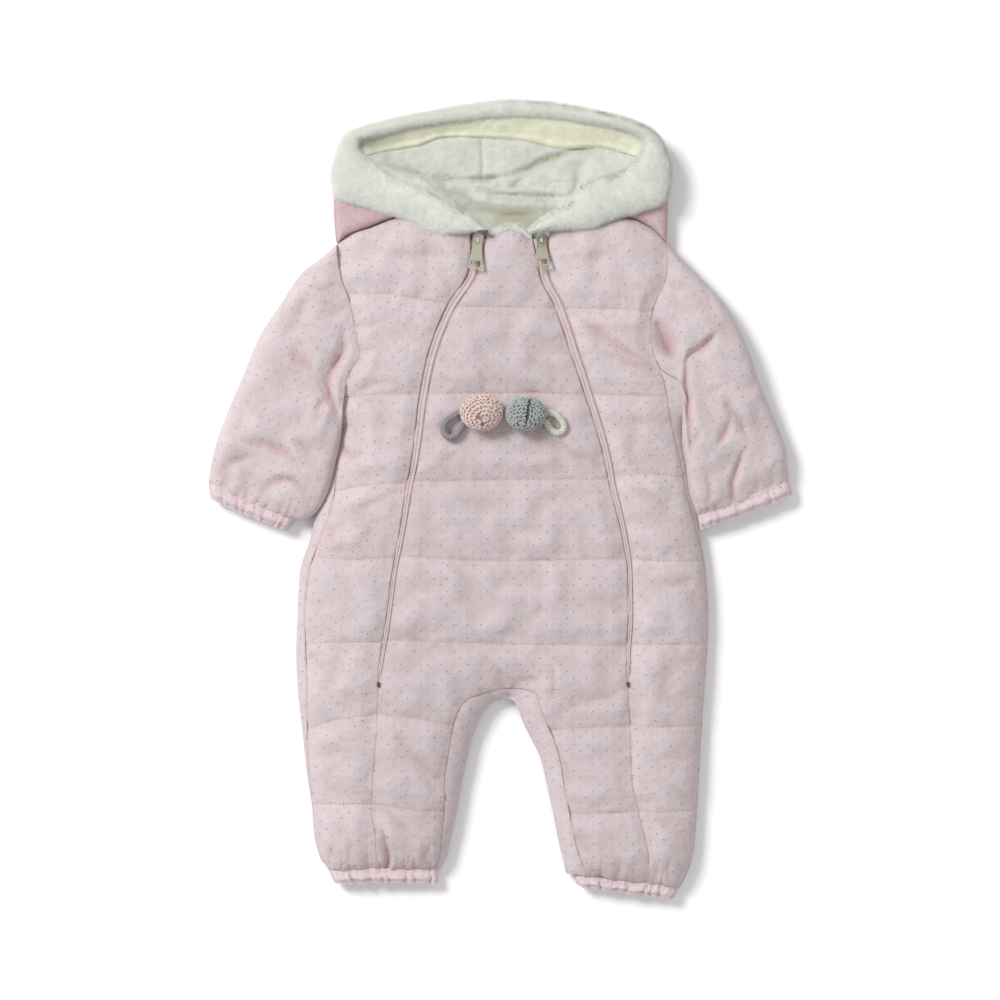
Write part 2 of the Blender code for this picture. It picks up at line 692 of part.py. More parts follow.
def gathered_end(name, table):
    """A frill on an elastic: a short flattened tube whose hem is gathered in waves."""
    start, end = table
    middle = type(start)(*[(a + b) / 2 for a, b in zip(start, end)])
    shares = np.linspace(0, 1, 13)
    outer, inner = [], []
    for row, wave in ((start, 0.3), (middle, 1.0), (end, 1.5)):
        rings = flat_tube_rings([row], shares, waves=4, wave=wave)
        outer += rings[0]
        inner += rings[1]
    return loft(name, outer, pink_cloth(), inner)


# ------------------------------------------------------------------ hood


def three_point(row, shares):
    """Points of a bent row through its left, middle and right point."""
    t = np.asarray(shares, float)
    weights = ((1 - t) * (1 - 2 * t), 4 * t * (1 - t), t * (2 * t - 1))
    x = weights[0] * row.left_x + weights[1] * row.mid_x + weights[2] * row.right_x
    y = weights[0] * row.left_y + weights[1] * row.mid_y + weights[2] * row.right_y
    return x, y


def mouth_line(side):
    """The inner edge of a turned side, from the neck to the middle of the top."""
    table = HOOD_LEFT if side == "left" else HOOD_RIGHT
    return field(table, "inner_x"), field(table, "inner_y")


def mouth_x(side, y):
    x_line, y_line = mouth_line(side)
    inward = MOUTH_INSET if side == "left" else -MOUTH_INSET
    return np.interp(y, y_line, x_line) + inward


def mouth_top(x):
    """y of the upper edge of the mouth."""
    left_x, left_y = (line[8:] for line in mouth_line("left"))
    right_x, right_y = (line[8:][::-1] for line in mouth_line("right"))
    return np.interp(x, [*left_x, *right_x], [*left_y, *right_y])


def mouth_grid(table, shares):
    """Rows between the turned sides, each a shallow arc through its middle."""
    x, y = [], []
    for row in table:
        left, right = mouth_x("left", row.left_y), mouth_x("right", row.right_y)
        middle = (left + right) / 2
        arc = Row(left, row.left_y, middle, row.mid_y, right, row.right_y)
        row_x, row_y = three_point(arc, shares)
        x.append(row_x)
        y.append(row_y)
    return np.array(x), np.array(y)


def hood_back():
    """The hood's back: a flat padded layer on the table, as wide as the hood."""
    shares = np.array([0, HOOD_ROUNDING, 0.2, 0.35, 0.5, 0.65, 0.8, 1 - HOOD_ROUNDING, 1])
    pairs = [three_point(row, shares) for row in HOOD_BACK]
    x = np.array([pair[0] for pair in pairs])
    y = np.array([pair[1] for pair in pairs])
    y[0] = np.maximum(y[0], column(NECK, "seam", x[0]) + GAP)
    under = np.full_like(x, HOOD_EDGE_DROP)
    under[:-1, 1:-1] = 0.0
    return grid_slab("hood_back", x, y, np.full_like(x, BACK_TOP), under, pink_cloth())


def hood_side(side, table):
    """The hood's side, turned forward round the mouth: a folded, padded layer."""
    shares = np.array([0, 0.08, 1])
    outer_x, inner_x = field(table, "outer_x"), field(table, "inner_x")
    at_neck = column(NECK, "seam", outer_x) + 2 * GAP
    outer_y, inner_y = np.maximum(field(table, "outer_y"), at_neck), field(table, "inner_y")
    x = outer_x[:, None] + (inner_x - outer_x)[:, None] * shares
    y = outer_y[:, None] + (inner_y - outer_y)[:, None] * shares
    top = HOOD_TURNED_TOP - np.array([HOOD_EDGE_DROP, 0, 0]) + np.zeros_like(x)
    return grid_slab("hood_" + side, x, y, top, np.full_like(x, FRONT_REST), pink_cloth())


def mouth_piece(name, table, shares, x=None, y=None):
    if x is None:
        x, y = mouth_grid(table, shares)
    top = field(table, "height")[:, None] + np.zeros_like(x)
    finish = material("cream_plush", LINING_CREAM)
    return grid_slab(name, x, y, top, np.full_like(x, LINING_FLOOR), finish)


def hood_linings():
    """The cream lining in the hood's mouth: two halves below a facing."""
    first_x, _ = mouth_grid(HOOD_LINING, (0, 1))
    width = first_x[0, 1] - first_x[0, 0]
    split = (LINING_SEAM_X - first_x[0, 0]) / width
    clear = 2 * GAP / width
    mouth_piece("hood_lining_left", HOOD_LINING, np.linspace(0, split - clear, 4))
    mouth_piece("hood_lining_right", HOOD_LINING, np.linspace(split + clear, 1, 5))
    x, y = mouth_grid(HOOD_FACING[:2], np.linspace(0, 1, 9))
    x = np.concatenate([x, x[1:] * 0.92])
    y = np.concatenate([y, mouth_top(x[2:]) - 3 * GAP])
    mouth_piece("hood_facing", HOOD_FACING, None, x, y)


def neck_lining():
    """The body's plush lining, bunched in the neck opening."""
    x, y = mouth_grid(NECK_LINING, np.linspace(0, 1, 9))
    y[0] = np.maximum(y[0], column(NECK, "front", x[0]) + NECK_FACING_WIDTH + 4 * GAP)
    return mouth_piece("neck_lining", NECK_LINING, None, x, y)


def neck_facing():
    """The plush edge that shows above the centre panel's neck seam."""
    x = centre_columns()[0]
    x = np.delete(x, len(x) // 2)
    y = column(NECK, "front", x) + GAP
    rows_y = np.stack([y + NECK_FACING_WIDTH, y])
    rows_x = np.stack([x, x])
    top = np.stack([np.full_like(x, NECK_LOW + 0.5), np.full_like(x, NECK_LOW + 2)])
    under = np.full_like(top, FRONT_REST + 2.5)
    finish = material("cream_plush", LINING_CREAM)
    return grid_slab("neck_facing", rows_x, rows_y, top, under, finish)


def fur_trim():
    """The fur band round the mouth: a rounded strip on the turned sides of the hood."""
    share = np.array([0, 0.0, 0.18, 0.5, 0.82, 1.0, 1.0, 0.5])
    level = np.array([0, 0.42, 0.86, 1.0, 0.86, 0.42, 0, 0])
    rings = []
    for row in FUR:
        outer = np.array([row.outer_x, row.outer_y])
        inner = np.array([row.inner_x, row.inner_y])
        plan = outer + share[:, None] * (inner - outer)
        rings.append([(*p, row.base + z * row.height) for p, z in zip(plan, level)])
    return loft("fur_trim", rings, material("cream_fur", FUR_WHITE, 0.95))


# ------------------------------------------------------------------ zips


def zip_middle(side, y):
    """x of a zip's middle. Above the second row it runs straight, as the panels do."""
    return column(BODY, side + "_zip", below_neck(y))


def below_neck(y):
    """Where the tables are read for a height y, as the panels' first row is stretched up
    to the neck seam."""
    stretch = (ROWS[0] - ROWS[1]) / (ZIP_TOP_Y + 1 - ROWS[1])
    return np.where(y > ROWS[1], ROWS[1] + (y - ROWS[1]) * stretch, y)


def zip_height(side, y):
    return front_top(zip_middle(side, y), y) - ZIP_SINK


def zip_strip(side):
    """Both tapes and the closed coil, as one strip between the panels."""
    top, bend, end = SLIDER_Y + STRIP_TOP, SLIDER_Y + STRIP_BEND, ZIP_END_Y + 1
    rows = np.array([top, bend, *(y for y in ROWS if end < y < bend - 2), end], float)
    half = zip_half(below_neck(rows)) - 2 * GAP
    coil = np.minimum(COIL_HALF, half * 0.6)
    x = zip_middle(side, rows)[:, None] + np.stack([-half, -coil, coil, half], 1)
    y = np.repeat(rows[:, None], 4, axis=1)
    height = zip_height(side, rows)[:, None]
    surface = height + np.array([0, COIL_RISE, COIL_RISE, 0])
    under = height - TAPE + np.zeros(4)
    return grid_slab("zip_" + side, x, y, surface, under, material("zip_tape", TAPE_PINK))


def zip_stop(side):
    """The stop at the lower end of a zip."""
    bm = bmesh.new()
    bmesh.ops.create_cube(bm, size=1)
    bmesh.ops.scale(bm, vec=Vector(STOP) * MM, verts=bm.verts)
    bmesh.ops.bevel(bm, geom=bm.edges[:], offset=0.5 * MM, segments=2, affect="EDGES")
    y = np.array(ZIP_END_Y - STOP[1] / 2 - 1)
    x = zip_middle(side, y)
    place = Vector((float(x), float(y), float(front_top(x, y)) + STOP[2] / 2 + 2 * GAP)) * MM
    bmesh.ops.translate(bm, vec=place, verts=bm.verts)
    return new_object("zip_stop_" + side, bm, material("nickel", METAL, 0.3, 1.0))


def box(size, place):
    bm = bmesh.new()
    bmesh.ops.create_cube(bm, size=1)
    bmesh.ops.scale(bm, vec=Vector(size) * MM, verts=bm.verts)
    bmesh.ops.translate(bm, vec=Vector(place) * MM, verts=bm.verts)
    mesh = bpy.data.meshes.new("box")
    bm.to_mesh(mesh)
    bm.free()
    return mesh


def helper(name, mesh):
    made = bpy.data.objects.new(name, mesh)
    made.hide_render = True
    made.display_type = "WIRE"
    bpy.data.collections["cutters"].objects.link(made)
    return made


def slider_frame(side):
    """Matrix of the slider: its origin on the tape, its local -Y down the zip."""
    y = np.array([SLIDER_Y + STRIP_TOP, SLIDER_Y + STRIP_BEND])
    upper, lower = (Vector(p) for p in zip(zip_middle(side, y), y, zip_height(side, y)))
    up_zip = (upper - lower).normalized()
    across = up_zip.cross(Vector((0, 0, 1))).normalized()
    outward = across.cross(up_zip)
    turn = Matrix((across, up_zip, outward)).transposed().to_4x4()
    share = STRIP_TOP / (STRIP_TOP - STRIP_BEND)
    return Matrix.Translation(upper.lerp(lower, share) * MM) @ turn


def slider(side):
    """A slider: two plates round the coil, joined by a post at the top, and a crown."""
    above = COIL_RISE + GAP
    below = -TAPE - GAP - PLATE
    post_y = PLATE_LENGTH / 2 - 2
    body = bpy.data.objects.new("slider_" + side, rounded_plate(above))
    bpy.data.collections[COLLECTION].objects.link(body)
    body.data.materials.append(material("nickel", METAL, 0.3, 1.0))
    pieces = (
        ("lower_plate", rounded_plate(below)),
        ("post", box((3, 2.4, above - below), (0, post_y, (above + below + PLATE) / 2))),
        ("crown", crown(above + PLATE)),
    )
    for name, mesh in pieces:
        join = body.modifiers.new(name, "BOOLEAN")
        join.operation = "UNION"
        join.object = helper(name + "_" + side, mesh)
        join.object.matrix_world = slider_frame(side)
    body.matrix_world = slider_frame(side)
    return body


def rounded_plate(z):
    """A slider's plate, narrower at its lower end."""
    half_length = PLATE_LENGTH / 2
    bm = bmesh.new()
    bmesh.ops.create_cube(bm, size=1)
    bmesh.ops.scale(bm, vec=Vector((PLATE_WIDTH, PLATE_LENGTH, PLATE)) * MM, verts=bm.verts)
    for vert in bm.verts:
        if vert.co.y < 0:
            vert.co.x *= 0.72
    upright = [e for e in bm.edges if abs(e.verts[0].co.z - e.verts[1].co.z) > 0.5 * PLATE * MM]
    bmesh.ops.bevel(bm, geom=upright, offset=0.3 * half_length * MM, segments=3, affect="EDGES")
    bmesh.ops.translate(bm, vec=(0, 0, (z + PLATE / 2) * MM), verts=bm.verts)
    mesh = bpy.data.meshes.new("plate")
    bm.to_mesh(mesh)
    bm.free()
    return mesh


def crown(z):
    """The arch on a slider that holds the pull tab: a strip bent along the slider."""
    bm = bmesh.new()
    steps = 8
    rings = []
    for k in range(steps + 1):
        angle = math.pi * k / steps
        ring = []
        for thinner, sign in ((0, 1), (0, -1), (CROWN_WIRE, -1), (CROWN_WIRE, 1)):
            along = math.cos(angle) * (CROWN_HALF - thinner) + PIVOT_SHIFT
            up = math.sin(angle) * (CROWN_RISE - thinner) - CROWN_SINK + z
            ring.append(bm.verts.new(Vector((sign * CROWN_WIDTH / 2, along, up)) * MM))
        rings.append(ring)
    skin_with_quads(bm, rings, [(k, (k + 1) % 4) for k in range(4)])
    bm.faces.new(rings[0])
    bm.faces.new(rings[-1])
    bmesh.ops.recalc_face_normals(bm, faces=bm.faces)
    mesh = bpy.data.meshes.new("crown")
    bm.to_mesh(mesh)
    bm.free()
    return mesh


def tab_pitch(side):
    """Angle by which a resting tab's free end rises, so that it clears the padding."""
    frame = slider_frame(side)
    steepest = 0.0
    for down in np.linspace(7, TAB_LENGTH, 9):
        for aside in (-TAB_END_WIDTH / 2, 0, TAB_END_WIDTH / 2):
            place = frame @ (Vector((aside, PIVOT_SHIFT - down, 0)) * MM) / MM
            padding = float(front_top(np.array(place.x), np.array(place.y)))
            lift = padding + TAB_CLEARANCE - place.z + TAB_THICKNESS / 2 - PIVOT_UP
            steepest = max(steepest, math.atan2(lift, down))
    return steepest


def pull_tab(side):
    """A pull tab: a plate that widens to its free end, with a window there and an eye at
    its pivot. Its origin is on the pivot, and it lies down along the zip."""
    outline = bpy.data.curves.new("pull_tab_" + side, "CURVE")
    outline.dimensions = "2D"
    outline.fill_mode = "BOTH"
    outline.extrude = (TAB_THICKNESS / 2) * MM
    outline.bevel_depth = 0.0
    top = TAB_EYE_BAR / 2
    narrow, wide = TAB_TOP_WIDTH / 2, TAB_END_WIDTH / 2
    bottom = top - TAB_LENGTH
    add_loop(outline, rounded(((-narrow, top), (narrow, top), (wide, bottom), (-wide, bottom)), 1.3))
    add_loop(outline, rectangle(0, -top - TAB_EYE[1] / 2, *TAB_EYE))
    add_loop(outline, rectangle(0, bottom + TAB_END_BAR + TAB_WINDOW[1] / 2, *TAB_WINDOW))
    curve = bpy.data.objects.new("outline", outline)
    bpy.data.collections[COLLECTION].objects.link(curve)
    bpy.context.view_layer.update()
    mesh = bpy.data.meshes.new_from_object(curve.evaluated_get(bpy.context.evaluated_depsgraph_get()))
    bpy.data.objects.remove(curve)
    bm = bmesh.new()
    bm.from_mesh(mesh)
    bmesh.ops.remove_doubles(bm, verts=bm.verts, dist=0.00002)
    tab = new_object("pull_tab_" + side, bm, material("nickel", METAL, 0.3, 1.0), 30)
    pitch = Matrix.Rotation(-tab_pitch(side), 4, "X")
    place = Matrix.Translation(Vector((0, PIVOT_SHIFT, PIVOT_UP)) * MM)
    tab.matrix_world = slider_frame(side) @ place @ pitch
    return tab


def add_loop(curve, points):
    spline = curve.splines.new("POLY")
    spline.points.add(len(points) - 1)
    for point, (x, y) in zip(spline.points, points):
        point.co = (x * MM, y * MM, 0, 1)
    spline.use_cyclic_u = True


def rectangle(x, y, width, length):
    w, h = width / 2, length / 2
    return [(x - w, y - h), (x - w, y + h), (x + w, y + h), (x + w, y - h)]


def rounded(corners, radius, steps=3):
    """Corners cut off with short arcs."""
    points = []
    count = len(corners)
    for k in range(count):
        here = Vector(corners[k])
        before = (Vector(corners[k - 1]) - here).normalized() * radius
        after = (Vector(corners[(k + 1) % count]) - here).normalized() * radius
        for step in range(steps + 1):
            t = step / steps
            points.append(tuple(here + before * (1 - t) ** 2 + after * t**2))
    return points


# ------------------------------------------------------------------ chest trim


def ball(name, trim, colour):
    """A crocheted ball, a little flattened, on the front panel."""
    bm = bmesh.new()
    bmesh.ops.create_uvsphere(bm, u_segments=14, v_segments=8, radius=0.5)
    size = Vector((trim.width, trim.length, trim.height)) * MM
    bmesh.ops.scale(bm, vec=size, verts=bm.verts)
    rest = float(front_top(np.array(trim.x), np.array(trim.y))) + TRIM_CLEARANCE
    place = Vector((trim.x, trim.y, rest + trim.height / 2)) * MM
    bmesh.ops.translate(bm, vec=place, verts=bm.verts)
    return new_object(name, bm, material(name, colour, 0.95))


def through(points, steps=3):
    """A smooth line through points, with a few steps from each to the next."""
    place = [Vector((point.x, point.y)) for point in points]
    place = [2 * place[0] - place[1], *place, 2 * place[-1] - place[-2]]
    line = []
    for a, b, c, d in zip(place, place[1:], place[2:], place[3:]):
        for step in range(steps):
            t = step / steps
            bend = (2 * a - 5 * b + 4 * c - d) * t**2 + (3 * b - a - 3 * c + d) * t**3
            line.append(b + ((c - a) * t + bend) / 2)
    return [*line, place[-2]]


def cord_loop(name, route, colour):
    """A cord loop that lies on the front panel, both ends at its ball."""
    line = through(route)
    curve = bpy.data.curves.new(name, "CURVE")
    curve.dimensions = "3D"
    curve.bevel_depth = CORD / 2 * MM
    curve.bevel_resolution = 2
    curve.use_fill_caps = True
    spline = curve.splines.new("POLY")
    spline.points.add(len(line) - 1)
    for point, place in zip(spline.points, line):
        rest = float(front_top(np.array(place.x), np.array(place.y)))
        point.co = (place.x * MM, place.y * MM, (rest + TRIM_CLEARANCE + CORD / 2) * MM, 1)
    made = bpy.data.objects.new(name, curve)
    curve.materials.append(material(name, colour, 0.9))
    bpy.data.collections[COLLECTION].objects.link(made)
    return made


# ------------------------------------------------------------------ the whole suit


def clear_scene():
    for thing in list(bpy.data.objects):
        bpy.data.objects.remove(thing)
    for name in (COLLECTION, "cutters"):
        made = bpy.data.collections.new(name)
        bpy.context.scene.collection.children.link(made)


def main():
    clear_scene()
    front_centre()
    gathered_end("cuff_left", LEFT_CUFF)
    gathered_end("cuff_right", RIGHT_CUFF)
    gathered_end("ankle_left", LEFT_ANKLE)
    gathered_end("ankle_right", RIGHT_ANKLE)
    for side in ("left", "right"):
        front_side(side)
        back_half(side)
        sleeve(side)
        zip_strip(side)
        zip_stop(side)
        slider(side)
        pull_tab(side)
    hood_back()
    hood_side("left", HOOD_LEFT)
    hood_side("right", HOOD_RIGHT)
    hood_linings()
    neck_lining()
    neck_facing()
    fur_trim()
    ball("ball_pink", PINK_BALL, (0.66, 0.47, 0.42))
    ball("ball_grey", GREY_BALL, (0.33, 0.37, 0.38))
    cord_loop("loop_grey", GREY_LOOP, (0.27, 0.25, 0.26))
    cord_loop("loop_cream", CREAM_LOOP, (0.72, 0.71, 0.62))


main()
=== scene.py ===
"""Looks of the padded, hooded baby pramsuit: its cloth, fur, zips and chest trim.

The pieces stand on the CAD model's frame, in metres there and in millimetres in the
tables below. +Y is towards the head, +Z is up from the surface it lies on, and "left"
is -X. Every cloth piece is a grid of points over the plan of its CAD solid, with its
folds put in as heights, and the hair of the fur and the plush is real geometry.
"""

import math
from collections import namedtuple

import bmesh
import bpy
import numpy as np
from mathutils import Matrix, Vector
from mathutils.bvhtree import BVHTree


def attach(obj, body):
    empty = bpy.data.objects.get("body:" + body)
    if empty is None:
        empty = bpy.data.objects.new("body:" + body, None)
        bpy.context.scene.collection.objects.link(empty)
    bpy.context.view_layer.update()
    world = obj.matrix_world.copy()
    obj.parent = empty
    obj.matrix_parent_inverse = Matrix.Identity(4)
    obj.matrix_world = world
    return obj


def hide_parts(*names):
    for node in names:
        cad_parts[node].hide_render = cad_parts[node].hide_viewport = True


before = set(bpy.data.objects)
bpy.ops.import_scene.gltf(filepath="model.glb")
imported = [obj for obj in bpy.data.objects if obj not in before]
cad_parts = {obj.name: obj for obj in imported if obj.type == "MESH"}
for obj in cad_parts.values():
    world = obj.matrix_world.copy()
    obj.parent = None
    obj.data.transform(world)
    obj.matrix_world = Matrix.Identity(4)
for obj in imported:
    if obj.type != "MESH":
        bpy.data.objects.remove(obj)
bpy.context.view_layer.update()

MM = 0.001


def tabled(names, *values):
    """The rows of a table, with named columns."""
    Row = namedtuple("Row", names)
    return tuple(Row(*row) for row in values)


# Heights and reaches of the padding, as in the CAD solids.
SEAM_Z = 9.0
BACK_TOP = 8.85
FRONT_REST = 9.15
LIP = 1.5
PUFF_HEIGHT = 28.0
SIDE_REACH = 44.0
NECK_REACH = 58.0
ANKLE_REACH = 40.0
NECK_LOW = 14.0
ANKLE_LOW = 14.5
BACK_ROUNDING = 9.0
CENTRE_X = 7.5
SEAM_LAP = 0.05  # how far a panel runs past its seam line, so that a seam is closed
SLEEVE_LAP = 0.15
ROLL = 1.2  # width of a panel's edge where it turns into a seam
EDGE_EASE = 3.0  # how softly the padding rises from a seam at the outline
STEP = 1.8  # spacing of the points on the front
BACK_STEP = 3.2
BACK_RAMP = np.array([0, 0.8, 2.0, 3.6, 5.8, 9.0])  # how the back's columns leave a seam
AT_ONCE = 20000  # points measured at once, which bounds the memory
BOTH = ("left", "right")

# Outlines and seams of the body by height: x at each y. An edge is the outline or the
# armhole, a seam is where the front ends and the strip turned over from the back starts.
BODY = tabled(
    "y left_edge left_seam left_zip right_zip right_seam right_edge",
    (220, -134, -133.4, -17, 32, 135.4, 136), (208, -134, -133.4, -18, 33, 135.9, 136.5),
    (184, -131, -130.4, -23, 35.5, 135.4, 136), (157, -122, -121.4, -40, 48, 125.2, 125.8),
    (137, -118, -117.4, -49, 55, 121.4, 122), (118, -115, -114.4, -55.5, 61, 124.6, 125.2),
    (104, -122, -121.4, -59, 66, 130.4, 132), (94, -126, -125.4, -61, 69, 134, 147),
    (76, -131, -130.4, -64, 75, 137, 152), (50, -133, -131, -67, 83, 142, 151),
    (30, -138, -133.5, -70, 88, 147, 154), (11, -142, -135, -74, 91.5, 150.5, 156),
    (-11, -150, -139, -77.5, 97, 156, 160), (-34, -156, -148, -81.5, 102, 162, 164),
    (-60, -164, -156.5, -86.5, 105.5, 167.4, 168), (-95, -166, -160, -91, 106, 169.4, 170),
    (-126, -167, -159, -96, 104.5, 168.4, 169), (-152, -166, -158, -99.5, 104, 166.4, 167),
    (-190, -162, -158, -101, 106, 163.8, 164.4), (-226, -158, -156, -104, 107, 161.9, 162.5),
    (-252, -154, -153.2, -105, 112, 160.2, 160.8),
    (-275, -152, -151.4, -102, 117.5, 158.8, 159.4), (-294, -147, -146.4, -101, 121, 156, 156.6),
    (-303, -141, -140.4, -101, 122, 153, 153.6), (-318, -139, -138.4, -101, 122.5, 145.4, 146),
)
# The inner sides of the legs: the edge is the outline, the inseam is the front's edge.
LEGS = tabled(
    "y left_inseam left_edge right_edge right_inseam",
    (-155, 1, CENTRE_X, CENTRE_X, 18), (-159, -16, CENTRE_X, CENTRE_X, 29),
    (-163, -25, CENTRE_X, CENTRE_X, 30.5), (-165, -28.5, -4, 10.5, 31), (-171, -33, -11, 14, 33),
    (-183, -37.5, -18, 18.5, 37.5), (-195, -40, -23, 24.5, 43), (-213, -43, -27, 33, 48.5),
    (-232, -45.5, -31.5, 37.5, 51.5), (-250, -45.5, -34.5, 41.5, 55),
    (-265, -46.5, -37.5, 44.5, 58), (-280, -48, -41, 47.5, 61), (-292, -49.5, -43.5, 50.5, 64.5),
    (-303, -54, -49, 54, 70), (-318, -54, -49, 58, 72),
)
SPLIT_Y = -155.0  # where the front panel parts into the legs
LEG_END_Y = -318
CROTCH_EDGE_Y = -163.0  # where the back's two halves part

# The neck seam from side to side, and its lower run at the top of the front panels.
NECK = tabled(
    "x seam front",
    (-134, 208, 208), (-120, 217, 217), (-105, 222, 222), (-90, 228, 228), (-76, 231, 231),
    (-48, 231, 231), (-28, 231, 225), (-17, 231, 219), (-8, 231, 215.5), (1, 231, 218.5),
    (10, 231, 220.5), (17, 231, 219), (24, 231, 213.5), (33, 231, 215), (48, 231, 225),
    (64, 231, 231), (86, 231, 231), (105, 229, 229), (118, 224, 224), (129, 216, 216),
    (136.5, 208, 208),
)
ANKLE_OUTLINE_Y = {"left": -304, "right": -317.5}  # where the outline meets that seam
ANKLES = tabled(
    "x seam",
    (-150, -304), (-100, -302.5), (-48, -303), (48, -306), (152, -319),
)

# A sleeve by stations from the armhole to the cuff seam.
LEFT_SLEEVE = tabled(
    "outer_x outer_y inner_x inner_y bow height",
    (-134, 208, -132, 76, 14, 23.5), (-146, 197, -129.4, 60, 7, 25),
    (-162, 185, -130.8, 46, 6, 26), (-179, 160, -134.6, 30, 5, 27),
    (-196, 134, -139.2, 10, 4, 27), (-211, 99, -148.2, -8, 3, 25), (-225, 66, -156, -15, 3, 23),
    (-234, 40, -162, -17.6, 1, 21), (-239, 15, -168, -17, -2, 16),
)
RIGHT_SLEEVE = tabled(
    "outer_x outer_y inner_x inner_y bow height",
    (136.5, 208, 146, 98, 10, 24), (150, 194, 145.2, 92, 8, 25), (169, 175, 148.6, 72, 7, 26),
    (186, 154, 148, 50, 6, 27), (202, 123, 151.4, 26, 5, 27), (213, 92, 154, 6, 3, 25),
    (224, 65, 157, -4, 3, 23), (234, 38, 159.2, -10, 1, 21), (236, 16, 160.2, -13.5, -2, 16),
)
# A gathered end: the two ends of its seam and of its hem, in plan.
Cuff = namedtuple("Cuff", "outer_x outer_y inner_x inner_y bow height")
LEFT_CUFF = (Cuff(-239, 14.6, -168, -17.5, -2, 16), Cuff(-237, 0, -174, -26, -1, 17))
RIGHT_CUFF = (Cuff(236, 15.6, 160.4, -14.2, -2, 16), Cuff(239, 3, 162.6, -25, -1, 17))
LEFT_ANKLE = (Cuff(-140, -304.5, -51, -303.8, 0, 14.5), Cuff(-136, -314.5, -51, -314.5, 1, 17))
RIGHT_ANKLE = (Cuff(145, -318.9, 61, -308.4, 0, 14.5), Cuff(142, -327, 62, -316.5, 0, 17))
# Where the valleys of the gathers lie along each of them, as shares of its width.
LEFT_CUFF_GATHERS = (0, 0.15, 0.36, 0.44, 0.57, 0.66, 0.83, 0.9, 1)
RIGHT_CUFF_GATHERS = (0, 0.24, 0.41, 0.58, 0.79, 0.87, 0.95, 1)
LEFT_ANKLE_GATHERS = (0, 0.12, 0.19, 0.36, 0.47, 0.53, 0.7, 0.78, 0.94, 1)
RIGHT_ANKLE_GATHERS = (0, 0.17, 0.25, 0.31, 0.5, 0.58, 0.76, 0.85, 1)

# The fur band by stations from its left end over the top to its right end.
FUR = tabled(
    "outer_x outer_y inner_x inner_y base height",
    (-24, 219, -8.5, 219.5, 23, 9), (-46, 215.5, -18, 228, 22.5, 11),
    (-61, 218, -30, 236, 21.5, 13), (-75, 226, -48, 247, 18.5, 15),
    (-98, 233, -68, 257, 16.4, 16), (-118, 239, -86, 265, 16.4, 16),
    (-136, 245, -98, 274, 16.4, 16), (-139, 262, -107, 281, 16.4, 16),
    (-135, 283, -112, 287, 16.4, 16), (-128, 297, -111, 292, 16.4, 16),
    (-113, 304.5, -101, 293.5, 16.4, 15), (-86, 312, -83, 298, 16.4, 14),
    (-58, 317.5, -57, 302.5, 16.4, 13), (-33, 322, -32, 306, 16.4, 12),
    (8, 327, 8, 309, 16.4, 12), (41, 325, 40, 308, 16.4, 12), (73, 319.5, 71, 303.5, 16.4, 13),
    (104, 312, 99, 298, 16.4, 15), (124, 303, 111, 294, 16.4, 16),
    (133, 293, 114, 288, 16.4, 16), (141, 266, 108, 277, 16.4, 16),
    (136, 242, 95, 267, 16.4, 16), (114, 233, 80, 263, 16.4, 16), (94, 227, 62, 256, 18.5, 15),
    (80, 221, 57, 244, 21.5, 13), (66, 218.5, 45, 238, 22.5, 12), (48, 219, 32, 230, 22.5, 11),
    (27, 217, 21.5, 219, 23, 9),
)
# The hood's sides turned forward: outer edge, and inner edge at the mouth.
HOOD_LEFT = tabled(
    "outer_x outer_y inner_x inner_y",
    (-46, 231.6, -42, 240), (-62, 231.6, -56, 249), (-78, 231.4, -72, 256), (-94, 227, -86, 262),
    (-112, 220, -97, 270), (-124, 214, -101, 274), (-133.2, 208, -104, 276),
    (-136.5, 240, -110, 281), (-136.5, 266, -114, 285), (-126, 295, -108, 290),
    (-86, 309.5, -84, 295), (-32, 319, -32, 303), (7.3, 323.5, 7.3, 306),
)
HOOD_RIGHT = tabled(
    "outer_x outer_y inner_x inner_y",
    (62, 231.6, 54, 240), (78, 231.6, 64, 253), (95, 230.6, 82, 260), (108, 227, 88, 263),
    (120, 222, 94, 267), (135.4, 208, 104, 272), (137, 240, 110, 276), (138, 266, 115, 284),
    (126, 298, 108, 291), (104, 309, 98, 295), (73, 316.5, 71, 300.5), (41, 322, 40, 305),
    (7.7, 323.5, 7.7, 306),
)
HOOD_BACK = tabled(
    "left_x left_y mid_x mid_y right_x right_y",
    (-133, 210.5, 7.5, 231.6, 135, 211), (-136, 240, 7.5, 255, 137, 240),
    (-136, 266, 7.5, 284, 138, 266), (-126, 294, 7.5, 308, 128, 294),
    (-100, 305.5, 7.5, 323.5, 106, 308),
)
HOOD_TOP = 16.0

# Zips and their metal.
ZIP_TOP_Y = 218.0
ZIP_END_Y = -148.0
ZIP_TOP_HALF = 6.0
ZIP_END_HALF = 1.6
ZIP_FLARE = 2.2
ZIP_SINK = 1.7
ZIP_COVER = 1.1  # how far a panel's turned edge covers the tape
FIRST_ROWS = (208.0, 195.0)  # the rows that reach up to the neck, and where they start
LAST_ROWS = (-302.0, -295.0)  # the rows that reach down to the ankle
SLIDER_Y = 211.0
STRIP_TOP = 1.5
STRIP_BEND = -8.0
QUILT_ROWS = (157, 87, 17, -50, -118, -183, -250)

# Chest trim.
Trim = namedtuple("Trim", "x y width length height")
TRIM_CLEARANCE = 0.7
PINK_BALL = Trim(-15.5, 70.5, 35, 30.5, 20)
GREY_BALL = Trim(20.6, 69, 33.5, 28, 20)
CORD = 5.4
GREY_LOOP = tabled(
    "x y",
    (-31.6, 71.3), (-43.5, 64), (-46.5, 56), (-42, 50), (-35.5, 53), (-31.5, 59), (-29.5, 64),
)
CREAM_LOOP = tabled(
    "x y",
    (38, 71), (45.5, 68.5), (51, 62), (51, 56), (45.5, 54), (40, 58), (37, 63),
)


# ------------------------------------------------------------------ reading the tables


